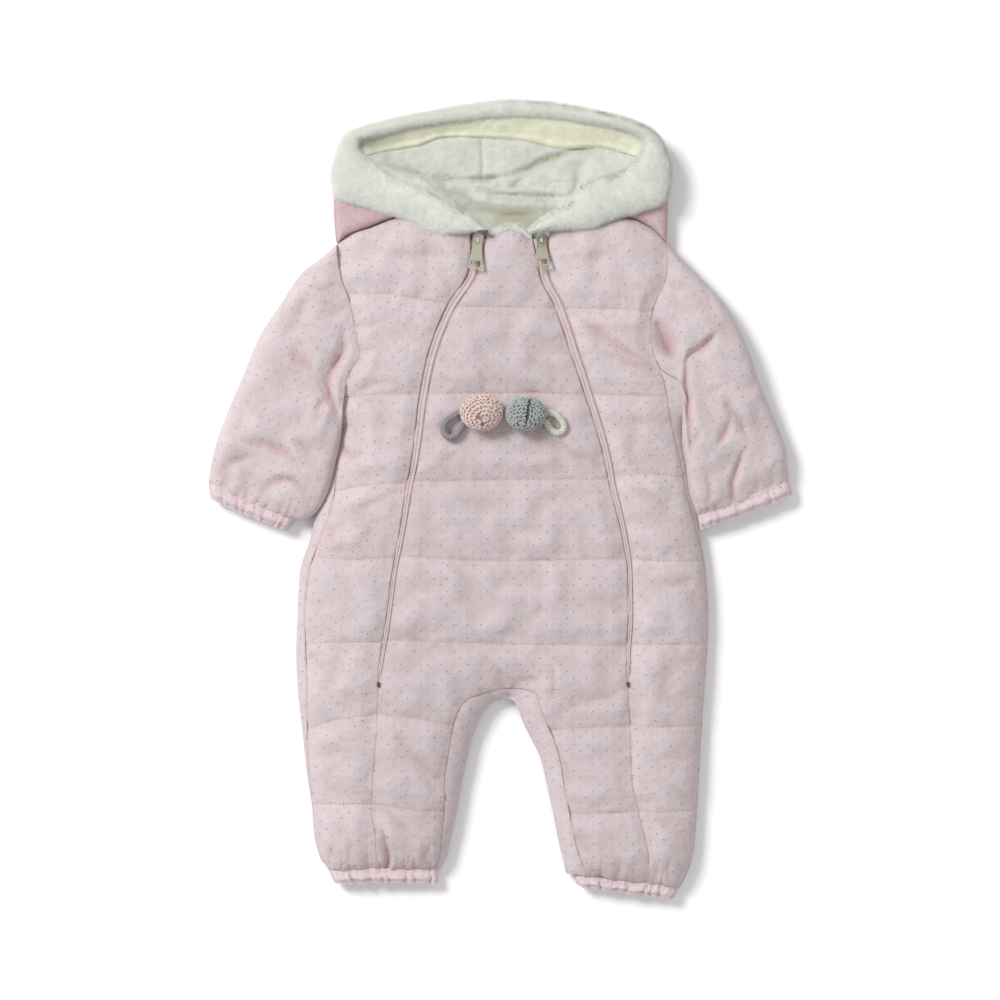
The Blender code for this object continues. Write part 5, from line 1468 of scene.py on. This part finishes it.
def beads(name, place, along, normal, size, finish, sides):
    """Many rounded beads as one mesh: `size` is length, width and height."""
    points, faces, ends = capsule(sides)
    along = unit(along)
    side = unit(np.cross(normal, along))
    size = np.broadcast_to(np.asarray(size, float), place.shape)
    turned = place[:, None]
    for k, way in enumerate((along, side, np.cross(along, side))):
        turned = turned + points[None, :, k : k + 1] * (way * size[:, k : k + 1])[:, None]
    start = (np.arange(len(place)) * len(points))[:, None, None]
    lists = [(start + part).reshape(-1, part.shape[1]) for part in (faces, ends)]
    return mesh_object(name, turned.reshape(-1, 3), lists, finish, None, 180)


UP = np.array([0.0, 0.0, 1.0])
COIL_PITCH, COIL_SHIFT = 1.35, 0.67  # from loop to loop, and from one row to the other


def below_neck(y):
    """Where the tables are read for a height y, as the panels' first rows are stretched."""
    first, second = FIRST_ROWS
    stretch = (first - second) / (ZIP_TOP_Y + 1 - second)
    return np.where(y > second, second + (y - second) * stretch, y)


def zip_middle(side, y):
    return column(BODY, side + "_zip", below_neck(y))


def zip_sink(y):
    """How far the tape lies below the cloth: less below the slider's tab than beside it."""
    return ZIP_SINK - 1.5 * smooth_step((180 - y) / 14)


def zip_path(side, pitch):
    """Points along a zip at a pitch, with the direction there. Z is the tape's top."""
    y = np.linspace(SLIDER_Y - 6.0, ZIP_END_Y + 1.5, 500)
    x = zip_middle(side, y)
    line = np.stack([x, y, front_top(x, y) - zip_sink(y)], axis=1)
    place = resampled(line, np.arange(0, run_along(line)[-1], pitch))
    return place, unit(np.gradient(place, axis=0))


def zip_tape(side, finish):
    """Both tapes of a zip, closed, as one woven strip under the coil."""
    bend = SLIDER_Y + STRIP_BEND
    upper = np.linspace(SLIDER_Y + STRIP_TOP, bend, 8)[:-1]
    y = np.concatenate([upper, np.linspace(bend, ZIP_END_Y + 1, 190)])
    half = panel_gap(below_neck(y)) + SEAM_LAP
    middle = front_top(zip_middle(side, y), y) - zip_sink(y)
    share = np.linspace(-1, 1, 11)
    x = zip_middle(side, y)[:, None] + half[:, None] * share
    y, middle = y[:, None] + 0 * x, middle[:, None] + 0 * x
    top = middle + 0.5 * np.exp(-((share / 0.45) ** 2)) + 0.1 * rough(x, y, 5, 95)
    # Painted shade towards both edges of the tape, under the panels' turned edges.
    shade = np.broadcast_to(share**2, x.shape)
    return wall("zip_" + side, x, y, top, middle - 1.2, finish, shade)


def zip_coil(side, finish):
    """The nylon coil: two rows of small loops that meet in the middle of the zip."""
    place, along = zip_path(side, COIL_PITCH)
    aside = unit(np.cross(along, UP))
    reach = np.minimum(3.1, panel_gap(below_neck(place[:, 1])) * 0.8)[:, None]
    rows, ways = [], []
    for sign, shift in ((1, 0.0), (-1, COIL_SHIFT)):
        rows.append(place + along * shift + aside * sign * reach * 0.55 + UP * 0.6)
        ways.append(aside + along * 0.22 * sign)
    size = np.concatenate([reach * 0.86, 0 * reach + 1.3, 0 * reach + 1.1], axis=1)
    rows, ways, size = np.concatenate(rows), np.concatenate(ways), np.tile(size, (2, 1))
    return beads("zip_coil_" + side, rows, ways, UP + 0 * ways, size, finish, 5)


def surface_below(objects):
    """A height lookup over the tops of pieces, for what is laid on them."""
    graph = bpy.context.evaluated_depsgraph_get()
    trees = [BVHTree.FromObject(made, graph) for made in objects]

    def look(x, y):
        best = None
        for tree in trees:
            spot, normal, _, _ = tree.ray_cast(Vector((x * MM, y * MM, 0.2)), Vector((0, 0, -1)))
            if spot is not None and (best is None or spot.z > best[0].z):
                best = (spot, normal)
        return best

    return look


def quilt_stitches(panels, finish):
    """Stitches of the quilted rows, one every few millimetres, lying in their grooves."""
    look = surface_below(panels)
    place, along, normal = [], [], []
    for row in QUILTS:
        line = smooth_run(row.points, 10)
        at = np.arange(2.5, run_along(line)[-1] - 2, 3.1)
        for spot, ahead in zip(resampled(line, at), resampled(line, at + 1)):
            found = look(*spot)
            if found is not None:
                place.append(np.array(found[0]) / MM)
                along.append((*(ahead - spot), 0))
                normal.append(tuple(found[1]))
    place, along, normal = (np.array(part) for part in (place, along, normal))
    return beads("quilt_stitches", place, along, normal, (2.4, 0.5, 0.3), finish, 5)


# ------------------------------------------------------------------ chest trim


BALL_ROUNDS = 13


def ball_place(trim):
    rest = float(front_top(np.array(trim.x), np.array(trim.y))) + TRIM_CLEARANCE
    return np.array([trim.x, trim.y, rest + trim.height / 2])


def crochet_ball(name, trim, turn, lean, finish, core_finish, slit):
    """A crocheted ball: rounds of slanted stitches on a stuffed core, and the core."""
    centre = ball_place(trim)
    radii = np.array([trim.width, trim.length, trim.height]) / 2
    axis = np.array(Matrix.Rotation(turn, 3, "Z") @ Matrix.Rotation(lean, 3, "X"))
    random = np.random.default_rng(len(name))
    place, along, normal = [], [], []
    for k in range(BALL_ROUNDS):
        tilt = math.pi * (k + 0.5) / BALL_ROUNDS
        high, low = math.cos(tilt), math.sin(tilt)
        around = max(4, round(2 * math.pi * 16 * low / 3.5))
        for s in range(around):
            for sign in (-1, 1):
                swing = 2 * math.pi * (s + 0.5 * (k % 2) + 0.23 * sign) / around
                cos, sin = math.cos(swing), math.sin(swing)
                ray = axis @ [low * cos, low * sin, high]
                down = axis @ [high * cos, high * sin, -low]
                round_way = axis @ [-sin, cos, 0]
                place.append(centre + ray * (radii - 0.75))
                along.append(down * 0.8 - sign * round_way * 0.62 + random.normal(0, 0.17, 3))
                normal.append(ray / radii)
    place, along, normal = np.array(place), np.array(along), unit(np.array(normal))
    keep = (distance(*place[:, :2].T, slit) > 1.25) | (place[:, 2] < centre[2])
    place = place + random.normal(0, 0.16, place.shape)
    size = np.array([4.4, 1.95, 1.6]) * random.uniform(0.82, 1.14, (len(place), 1))
    made = beads(name, place[keep], along[keep], normal[keep], size[keep], finish, 7)
    core = bpy.data.meshes.new(name + "_core")
    bm = bmesh.new()
    bmesh.ops.create_icosphere(bm, subdivisions=4, radius=1.0)
    for vert in bm.verts:
        vert.co = Vector((np.array(vert.co) * (radii - 1.25) + centre) * MM)
    spots = np.array([tuple(vert.co) for vert in bm.verts]) / MM
    bm.to_mesh(core)
    bm.free()
    # Painted shade: the core is marked nearly black near the slit in its stitches.
    set_painted_shade(core, np.exp(-((distance(*spots[:, :2].T, slit) / 1.5) ** 2)))
    core.materials.append(core_finish)
    core.shade_smooth()
    return made, add_object(name + "_core" + LOOK, core)


def through(points, steps=8):
    """A smooth line through points."""
    place = [Vector(point) for point in points]
    place = [2 * place[0] - place[1], *place, 2 * place[-1] - place[-2]]
    line = []
    for a, b, c, d in zip(place, place[1:], place[2:], place[3:]):
        for step in range(steps):
            t = step / steps
            bend = (2 * a - 5 * b + 4 * c - d) * t**2 + (3 * b - a - 3 * c + d) * t**3
            line.append(b + ((c - a) * t + bend) / 2)
    return np.array([*line, place[-2]])


def knitted_loop(name, route, finish):
    """A knitted cord loop on the front panel: columns of slanted stitches round a tube."""
    line = through(route)
    height = front_top(line[:, 0], line[:, 1]) + TRIM_CLEARANCE + CORD / 2
    line = np.column_stack([line, height])
    middle = resampled(line, np.arange(0, run_along(line)[-1], 2.3))
    along = unit(np.gradient(middle, axis=0))
    aside = unit(np.cross(along, UP))
    place, ways, normals = [], [], []
    for number in range(8):
        angle = 2 * math.pi * (number + 0.5) / 8
        cos, sin = math.cos(angle), math.sin(angle)
        out, round_way = cos * aside + sin * UP, cos * UP - sin * aside
        sign = 1 if number % 2 else -1
        place.append(middle + out * (CORD / 2 - 0.75) + along * 0.5 * sign)
        ways.append(along + round_way * 0.55 * sign)
        normals.append(out)
    place, ways, normals = (np.concatenate(part) for part in (place, ways, normals))
    return beads(name, place, ways, normals, (3.3, 1.75, 1.5), finish, 6)


# ------------------------------------------------------------------ materials


def srgb(red, green, blue):
    """A colour from its everyday numbers, as the linear one that shaders take."""
    channels = [value / 255 for value in (red, green, blue)]
    return (*(c / 12.92 if c < 0.04045 else ((c + 0.055) / 1.055) ** 2.4 for c in channels), 1.0)


def scaled(colour, *shares):
    """A darker or lighter colour, by one share or by one for each channel."""
    return (*(min(1.0, part * share) for part, share in zip(colour[:3], shares * 3)), 1.0)


class Finish:
    """A node material being made: its nodes are added by short calls."""

    def __init__(self, name, roughness, metallic=0.0, sheen=0.0):
        self.material = bpy.data.materials.new(name)
        self.material.use_nodes = True
        self.tree = self.material.node_tree
        self.surface = self.tree.nodes["Principled BSDF"].inputs
        self.surface["Roughness"].default_value = roughness
        self.surface["Metallic"].default_value = metallic
        self.surface["Sheen Weight"].default_value = sheen
        self.surface["Sheen Roughness"].default_value = 0.45
        self.surface["Specular IOR Level"].default_value = 0.5 if metallic else 0.25

    def feed(self, socket, value):
        if isinstance(value, bpy.types.NodeSocket):
            self.tree.links.new(value, socket)
        elif value is not None:
            socket.default_value = value

    def add(self, kind, *values, **settings):
        """A node with its settings, and with its inputs fed in their order."""
        made = self.tree.nodes.new("ShaderNode" + kind)
        for key, value in settings.items():
            setattr(made, key, value)
        for place, value in enumerate(values):
            self.feed(made.inputs[place], value)
        return made.outputs

    def math(self, operation, *values):
        return self.add("Math", *values, operation=operation)[0]

    def times(self, first, second):
        return self.math("MULTIPLY", first, second)

    def plus(self, first, second):
        return self.math("ADD", first, second)

    def sine(self, value, wave):
        """A sine of a place in millimetres, with a wave's length."""
        return self.math("SINE", self.times(value, 2 * math.pi / wave))

    def vector(self, operation, *values):
        made = self.add("VectorMath", *values, operation=operation)
        return made["Value" if operation == "LENGTH" else "Vector"]

    def parts(self, vector):
        return self.add("SeparateXYZ", vector)

    def mix(self, share, first, second):
        unused = [None] * 5
        return self.add("Mix", share, *unused, first, second, data_type="RGBA")[2]

    def ramp(self, value, low, high, start=0.0, end=1.0):
        smooth = {"interpolation_type": "SMOOTHSTEP"}
        return self.add("MapRange", value, low, high, start, end, **smooth)[0]

    def fold(self):
        """How much painted shade the point gets, from its mesh's fold attribute."""
        return self.add("Attribute", attribute_name="fold")["Fac"]

    def millimetres(self, angle=0.0):
        """Object coordinates in millimetres, turned about Z."""
        place = self.add("TexCoord")["Object"]
        return self.add("Mapping", place, None, (0, 0, angle), (1 / MM, 1 / MM, 1 / MM))[0]

    def noise(self, place, size, detail=2.0, rough_share=0.5):
        return self.add("TexNoise", place, None, 1 / size, detail, rough_share)["Fac"]

    def done(self, colour, height, strength, depth, roughness=None):
        """The material, with its colour and a bump of some millimetres."""
        self.feed(self.surface["Base Color"], colour)
        self.feed(self.surface["Roughness"], roughness)
        bump = self.tree.nodes.new("ShaderNodeBump")
        bump.inputs["Strength"].default_value = strength
        bump.inputs["Distance"].default_value = depth * MM
        self.feed(bump.inputs["Height"], height)
        self.feed(self.surface["Normal"], bump.outputs[0])
        return self.material


DOT_PITCH = 10.8
PINK = srgb(196, 184, 186)
# The darker, rosier pink of painted shade in creases, seams and quilted rows.
PINK_SHADE = srgb(181, 141, 142)
DOT_GREY = srgb(132, 122, 134)
WEAVE = 0.62


def dotted_cloth(name, angle, colour=PINK):
    """Wadded cotton with small dots in a half-drop, turned as its panel was cut."""
    finish = Finish(name, 0.85, sheen=0.12)
    place = finish.millimetres(angle)
    flat = finish.vector("MULTIPLY", place, (1, 1, 0))
    cells = finish.vector("DIVIDE", flat, (DOT_PITCH, DOT_PITCH, 1))
    aways = []
    for shift in (0.0, 0.5):
        moved = finish.vector("ADD", cells, (shift, shift, 0))
        inside = finish.vector("SUBTRACT", finish.vector("FRACTION", moved), (0.5, 0.5, 0))
        kept = finish.vector("MULTIPLY", inside, (DOT_PITCH, DOT_PITCH, 0))
        aways.append(finish.vector("LENGTH", kept))
    ragged = finish.times(finish.math("SUBTRACT", finish.noise(place, 0.8), 0.5), 0.5)
    away = finish.plus(finish.math("MINIMUM", *aways), ragged)
    strength = finish.ramp(finish.noise(place, 5, 1), 0.34, 0.66, 0.2, 0.85)
    # The dots fade where the cloth stands steep, because they would run there.
    facing = finish.math("ABSOLUTE", finish.parts(finish.add("NewGeometry")["Normal"])[2])
    strength = finish.times(strength, finish.ramp(facing, 0.3, 0.6))
    dot = finish.times(finish.ramp(away, 0.42, 0.88, 1.0, 0.0), strength)
    soft = finish.noise(place, 9, 3)
    pale, dusty = scaled(colour, 1.05, 1.045, 1.045), scaled(colour, 0.965, 0.94, 0.945)
    ground = finish.mix(finish.ramp(finish.noise(place, 45, 3), 0.35, 0.65), colour, pale)
    ground = finish.mix(finish.ramp(soft, 0.42, 0.72), ground, dusty)
    # Painted shade: the cloth turns towards the darker, rosier pink where the fold attribute marks
    # a crease or seam.
    ground = finish.mix(finish.times(finish.fold(), 0.8), ground, PINK_SHADE)
    parts = finish.parts(place)
    threads = finish.times(finish.sine(parts[0], WEAVE), finish.sine(parts[1], WEAVE))
    weave = finish.times(threads, 0.05)
    crush = finish.times(finish.noise(place, 5.0, 4, 0.6), 1.7)
    slub = finish.times(finish.noise(place, 1.3, 2), 0.22)
    height = finish.plus(weave, finish.plus(crush, slub))
    roughness = finish.ramp(soft, 0.3, 0.7, 0.78, 0.92)
    return finish.done(finish.mix(dot, ground, DOT_GREY), height, 0.55, 1.0, roughness)


# The darker, warmer cream of painted shade in the plush's folds.
PLUSH_SHADE = srgb(172, 168, 144)


def plush(name, colour, shadow, size=2.2):
    """Fine fur pile: pale tips over a slightly darker ground painted as shade between tufts, with
    warmer, darker painted shade in its folds.
    """
    finish = Finish(name, 0.9, sheen=0.2)
    place = finish.millimetres()
    tuft, broad = finish.noise(place, size, 3, 0.6), finish.noise(place, 16, 2)
    ground = finish.mix(finish.ramp(tuft, 0.32, 0.66), shadow, colour)
    ground = finish.mix(finish.ramp(broad, 0.4, 0.7), ground, scaled(colour, 1.06))
    return finish.done(finish.mix(finish.fold(), ground, PLUSH_SHADE), tuft, 0.4, size * 0.5)


def yarn(name, colour, fleck, flecks=0.3):
    """Wool yarn: twisted strands with paler flecks, and nearly black painted shade where the fold
    attribute marks a ball's slit.
    """
    finish = Finish(name, 0.92, sheen=0.3)
    place = finish.millimetres()
    fibre, broad = finish.noise(place, 0.7, 3, 0.7), finish.noise(place, 4.5, 2)
    ground = finish.mix(finish.times(finish.ramp(fibre, 0.42, 0.68), flecks), colour, fleck)
    ground = finish.mix(finish.ramp(broad, 0.35, 0.7, 0.0, 0.7), ground, scaled(colour, 0.86))
    return finish.done(finish.mix(finish.fold(), ground, scaled(colour, 0.22)), fibre, 0.5, 0.5)


def woven_tape(name, colour, edge):
    """The zip's herringbone tape, with painted shade towards its edges where the fold attribute is
    high.
    """
    finish = Finish(name, 0.75, sheen=0.1)
    parts = finish.parts(finish.millimetres())
    rib = finish.sine(finish.plus(parts[1], finish.math("PINGPONG", parts[0], 1.0)), 0.8)
    ground = finish.mix(finish.ramp(rib, -1, 1, 0.0, 0.2), colour, edge)
    # The ribs show the edge colour as the weave, and the fold attribute mixes it in as painted
    # shade towards the tape's edges.
    return finish.done(finish.mix(finish.times(finish.fold(), 0.8), ground, edge), rib, 0.3, 0.2)


def plastic_coil(name, colour):
    finish = Finish(name, 0.38)
    place = finish.millimetres()
    tone = finish.ramp(finish.noise(place, 6, 2), 0.3, 0.7)
    shaded = finish.mix(tone, colour, scaled(colour, 0.9))
    return finish.done(shaded, finish.noise(place, 0.9, 2), 0.15, 0.2)


def nickel(name, colour):
    """Plated zip metal, fingered and lightly brushed."""
    finish = Finish(name, 0.3, 1.0)
    place = finish.millimetres()
    worn = finish.noise(place, 2.4, 4, 0.6)
    grain = finish.noise(finish.vector("MULTIPLY", place, (1, 0.12, 1)), 0.35, 2)
    shaded = finish.mix(finish.ramp(worn, 0.4, 0.68), colour, scaled(colour, 0.8))
    return finish.done(shaded, grain, 0.12, 0.1, finish.ramp(worn, 0.3, 0.7, 0.24, 0.42))


def paper_floor():
    finish = Finish("floor_paper", 0.9)
    tone = finish.noise(finish.millimetres(), 260, 2)
    shaded = finish.mix(tone, (0.93, 0.93, 0.93, 1), (0.91, 0.91, 0.912, 1))
    finish.feed(finish.surface["Base Color"], shaded)
    return finish.material


# ------------------------------------------------------------------ stage and camera


CAMERA_HEIGHT = 4.0
FRAME_WIDTH = 0.82
SENSOR = 36


def area_light(name, place, size, power):
    """A round soft light that looks at the middle of the suit."""
    lamp = bpy.data.lights.new(name, "AREA")
    lamp.shape = "DISK"
    lamp.size = size
    lamp.energy = power
    made = add_object(name, lamp)
    made.location = place
    made.rotation_euler = (-Vector(place)).to_track_quat("-Z", "Y").to_euler()


def stage():
    """A pale floor, soft light from the upper left, and the camera straight above."""
    scene = bpy.context.scene
    scene.view_settings.view_transform = "Standard"
    bm = bmesh.new()
    bmesh.ops.create_grid(bm, x_segments=2, y_segments=2, size=3)
    mesh = bpy.data.meshes.new("floor")
    bm.to_mesh(mesh)
    bm.free()
    mesh.materials.append(paper_floor())
    floor = add_object("floor", mesh)
    floor.location.z = -0.0004
    world = bpy.data.worlds.new("studio")
    world.use_nodes = True
    back = world.node_tree.nodes["Background"].inputs
    back["Color"].default_value = (1.0, 0.995, 0.99, 1)
    back["Strength"].default_value = 0.54
    scene.world = world
    area_light("key", (-3.4, 2.6, 3.9), 2.2, 299)
    area_light("fill", (1.3, -1.2, 2.4), 2.0, 12)
    camera = bpy.data.cameras.new("camera")
    camera.sensor_width = SENSOR
    camera.lens = SENSOR * CAMERA_HEIGHT / FRAME_WIDTH
    camera.clip_end = 100
    scene.camera = add_object("camera", camera)
    scene.camera.location = (-0.00041, -0.00082, CAMERA_HEIGHT)


# ------------------------------------------------------------------ the whole suit

# A thin piece laid flat: its width and length in metres, its area, and how it is held.
Flat = namedtuple("Flat", "width length area held")


def place_piece(made, node=None, body="suit"):
    """Attaches a piece to its body and hides the CAD node that it stands for."""
    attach(made, body)
    if node:
        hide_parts(node)


def body_sheet():
    """The front's outer cloth, sewn along every seam and quilted row."""
    lines = [*SIDES, *INNER_LEGS, NECK_LINE, *ANKLE_LINES, *ZIPS, *ARMHOLES]
    lines += [smooth_run(row.points, 10) for row in QUILTS]
    return cloth_sheet((-190, -334), (190, 226), lines, 501)


def sleeve_sheet(table, seed):
    """A sleeve's outer cloth, sewn to the armhole and the cuff."""
    edges = [in_plan(table, "outer_x", "outer_y"), in_plan(table, "inner_x", "inner_y")]
    points = np.concatenate(edges)
    lines = [seam_ends(table[0]), seam_ends(table[-1]), *edges]
    return cloth_sheet(points.min(axis=0) - 8, points.max(axis=0) + 8, lines, seed)


def pink_pieces():
    front = body_sheet()
    left, right = dotted_cloth("cloth_left", 0.14), dotted_cloth("cloth_right", -0.07)
    panels = [
        # The centre panel's cloth is painted a little darker than the sides, as painted shade.
        front_centre(dotted_cloth("cloth_centre", 0.0, srgb(191, 179, 181)), front),
        front_side("left", LEFT_SIDE_FOLDS, left, front),
        front_side("right", RIGHT_SIDE_FOLDS, right, front),
    ]
    made = [*panels, back_half("left", left), back_half("right", right)]
    ends = {
        "cuff_left": Gathered(LEFT_CUFF, LEFT_CUFF_GATHERS, 0.5),
        "cuff_right": Gathered(RIGHT_CUFF, RIGHT_CUFF_GATHERS, 0.5),
        "ankle_left": Gathered(LEFT_ANKLE, LEFT_ANKLE_GATHERS, 1.0),
        "ankle_right": Gathered(RIGHT_ANKLE, RIGHT_ANKLE_GATHERS, 1.0),
    }
    # For each sleeve the turn of its cloth's dots and the seed of its creases.
    sleeves = (
        ("left", LEFT_SLEEVE, SLEEVE_FOLDS_LEFT, -0.42, 511),
        ("right", RIGHT_SLEEVE, SLEEVE_FOLDS_RIGHT, 0.35, 521),
    )
    for side, table, folds, turn, seed in sleeves:
        cloth = dotted_cloth("cloth_sleeve_" + side, turn)
        crumple = sleeve_sheet(table, seed)
        made.append(sleeve(side, table, ends["cuff_" + side], folds, cloth, crumple))
    hood_cloth = dotted_cloth("cloth_hood", 0.0, srgb(189, 165, 169))
    made.append(hood_back(hood_cloth))
    for side, table in (("left", HOOD_LEFT), ("right", HOOD_RIGHT)):
        made.append(hood_side(side, table, hood_cloth))
    for piece in made:
        place_piece(piece, piece.name.removesuffix(LOOK))
    frill = dotted_cloth("cloth_frill", 0.1, srgb(206, 189, 193))
    for number, (name, gathered) in enumerate(ends.items()):
        place_piece(gathered_end(name, gathered, 130 + number, frill), name)
    return panels


def fur_pieces():
    ground = plush("fur_ground", srgb(209, 211, 203), srgb(208, 210, 202), 4)
    tips = plush("fur_hair", srgb(210, 212, 204), srgb(209, 211, 203), 6)
    lining = plush("lining_pile", srgb(195, 198, 188), srgb(191, 194, 183))
    lining_tips = plush("lining_hair", srgb(198, 201, 193), srgb(196, 199, 190), 5)
    facing = plush("facing_pile", srgb(214, 214, 192), srgb(211, 211, 188))
    facing_tips = plush("facing_hair", srgb(215, 215, 194), srgb(212, 212, 190), 5)
    place_piece(fur_trim(ground), "fur_trim")
    fur_hair(tips)
    pieces = [*hood_linings(lining), hood_facing(facing), neck_lining(lining), neck_facing(ground)]
    for piece in pieces:
        place_piece(piece, piece.name.removesuffix(LOOK))
    lining_hair(lining_tips, facing_tips, tips)


def fur_hair(finish):
    """The band's pile, in two pieces, lying outwards and down in swirls."""
    rings, _ = fur_rings()
    half = len(rings) // 2
    for side, part, seed in (("left", rings[: half + 1], 201), ("right", rings[half:], 202)):
        place, normal = scattered(part, HAIRS, seed)
        outward = unit((place - MOUTH_CENTRE) * (1, 1, 0))
        swirl = rough(place[:, 0], place[:, 1], 11, 203)[:, None]
        lie = outward * 0.5 + np.cross(UP, outward) * 1.3 * swirl
        lie[:, 1] -= 0.45
        shade = rim_shade(place)
        piece = hair("fur_hair_" + side, place, normal, lie, 3.6, finish, seed + 10, shade)
        place_piece(piece)


def lining_hair(lining_finish, facing_finish, edge_finish):
    """Short pile on every cream piece: how many hairs, how long, and of which finish."""
    piles = (
        ("neck_lining", 9000, 2.2, lining_finish),
        ("neck_facing", 2200, 3.4, edge_finish),
        ("hood_lining_left", 3000, 2.2, lining_finish),
        ("hood_lining_right", 4000, 2.2, lining_finish),
        ("hood_facing", 7000, 2.2, facing_finish),
    )
    for number, (name, count, length, finish) in enumerate(piles):
        place, normal = scattered_faces(bpy.data.objects[name + LOOK].data, count, 230 + number)
        x, y = place[:, 0], place[:, 1]
        swirl = rough(x, y, 8, 240)
        lie = np.column_stack([0.9 * swirl, -0.5 + 0.5 * swirl, 0 * swirl])
        shade = None if name == "neck_facing" else mouth_shade(x, y)
        piece = hair(name + "_pile", place, normal, lie, length, finish, 250 + number, shade)
        place_piece(piece)
    fringe(edge_finish)


FRINGES = (
    ((-103, 277), (-86, 273), (-66, 269), (-46, 264), (-30, 263)),
    ((-4, 263), (10, 267), (31, 275), (47, 282), (62, 287), (84, 285.5), (98, 280)),
    ((-14, 248), (6, 246), (24, 245.5), (44, 245), (58, 244)),
)


def fringe(finish):
    """Longer hairs where the plush is folded, which stand against what lies behind them."""
    random = np.random.default_rng(270)
    parts = ("neck_lining", "hood_lining_left", "hood_lining_right", "hood_facing")
    look = surface_below([bpy.data.objects[name + LOOK] for name in parts])
    place, normal = [], []
    for run in FRINGES:
        line = smooth_run(run, 12)
        spots = resampled(line, np.arange(0, run_along(line)[-1], 0.13))
        for spot in spots + random.normal(0, 1.5, spots.shape):
            found = look(*spot)
            if found is not None:
                place.append(np.array(found[0]) / MM)
                normal.append(np.array(found[1]))
    place, normal = np.array(place), np.array(normal)
    lie = np.tile((0.0, 1.0, 0.0), (len(place), 1))
    lie[:, 0] = random.normal(0, 0.4, len(place))
    piece = hair("lining_fringe", place, normal, lie, 5.0, finish, 271, lift=0.9)
    place_piece(piece)


def scattered_faces(mesh, count, seed):
    """Random places on the upward faces of a mesh, in millimetres, and their normals."""
    faces = len(mesh.polygons)
    normal, centre, area = np.empty(faces * 3), np.empty(faces * 3), np.empty(faces)
    for name, values in (("normal", normal), ("center", centre), ("area", area)):
        mesh.polygons.foreach_get(name, values)
    normal, centre, area = normal.reshape(-1, 3), centre.reshape(-1, 3) / MM, area / MM**2
    up = normal[:, 2] > 0.25
    normal, centre, area = normal[up], centre[up], area[up]
    random = np.random.default_rng(seed)
    pick = random.choice(len(area), count, p=area / area.sum())
    jitter = random.uniform(-0.5, 0.5, (count, 3)) * np.sqrt(area[pick])[:, None]
    jitter -= (jitter * normal[pick]).sum(axis=1, keepdims=True) * normal[pick]
    return centre[pick] + jitter, normal[pick]


def zip_pieces():
    # The second colour is that of the weave's ribs and of the painted shade at the tape's edges.
    tape = woven_tape("zip_tape_cloth", srgb(204, 184, 184), srgb(188, 158, 160))
    coil = plastic_coil("zip_coil_plastic", srgb(216, 204, 202))
    metal = nickel("zip_metal", srgb(238, 238, 226))
    gilt = nickel("tab_metal", srgb(226, 226, 200))
    bronze = nickel("stop_metal", srgb(140, 104, 98))
    for side in BOTH:
        place_piece(zip_tape(side, tape), "zip_" + side)
        place_piece(zip_coil(side, coil))
        finish_node("slider_" + side, metal)
        finish_node("pull_tab_" + side, gilt)
        finish_node("zip_stop_" + side, bronze)


def finish_node(name, finish):
    """A CAD node that stays gets its material."""
    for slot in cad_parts[name].material_slots:
        slot.material = finish


def trim_pieces():
    pink = yarn("yarn_pink", srgb(209, 188, 180), srgb(228, 213, 205))
    grey = yarn("yarn_grey", srgb(148, 154, 154), srgb(216, 220, 218), 0.6)
    dark = yarn("yarn_dark", srgb(144, 139, 141), srgb(176, 170, 172), 0.4)
    cream = yarn("yarn_cream", srgb(206, 206, 192), srgb(226, 226, 214))
    # The cores are painted darker than their yarn, as shade in the gaps between the stitches.
    pink_core = yarn("yarn_pink_core", srgb(194, 170, 161), srgb(204, 182, 174))
    grey_core = yarn("yarn_grey_core", srgb(112, 116, 116), srgb(130, 134, 134))
    balls = (
        ("ball_pink", PINK_BALL, 0.5, 0.5, pink, pink_core, ((-18.7, 68.4), (-13.8, 60.2))),
        ("ball_grey", GREY_BALL, -0.3, 0.7, grey, grey_core, ((23.5, 79.5), (20.5, 59))),
    )
    for name, *look in balls:
        stitches, core = crochet_ball(name, *look)
        place_piece(stitches, name)
        place_piece(core)
    place_piece(knitted_loop("loop_grey", GREY_LOOP, dark), "loop_grey")
    place_piece(knitted_loop("loop_cream", CREAM_LOOP, cream), "loop_cream")


def main():
    panels = pink_pieces()
    thread = yarn("stitch_thread", srgb(188, 156, 159), srgb(200, 172, 174))
    place_piece(quilt_stitches(panels, thread))
    fur_pieces()
    zip_pieces()
    trim_pieces()
    stage()
    bpy.context.view_layer.update()


main()
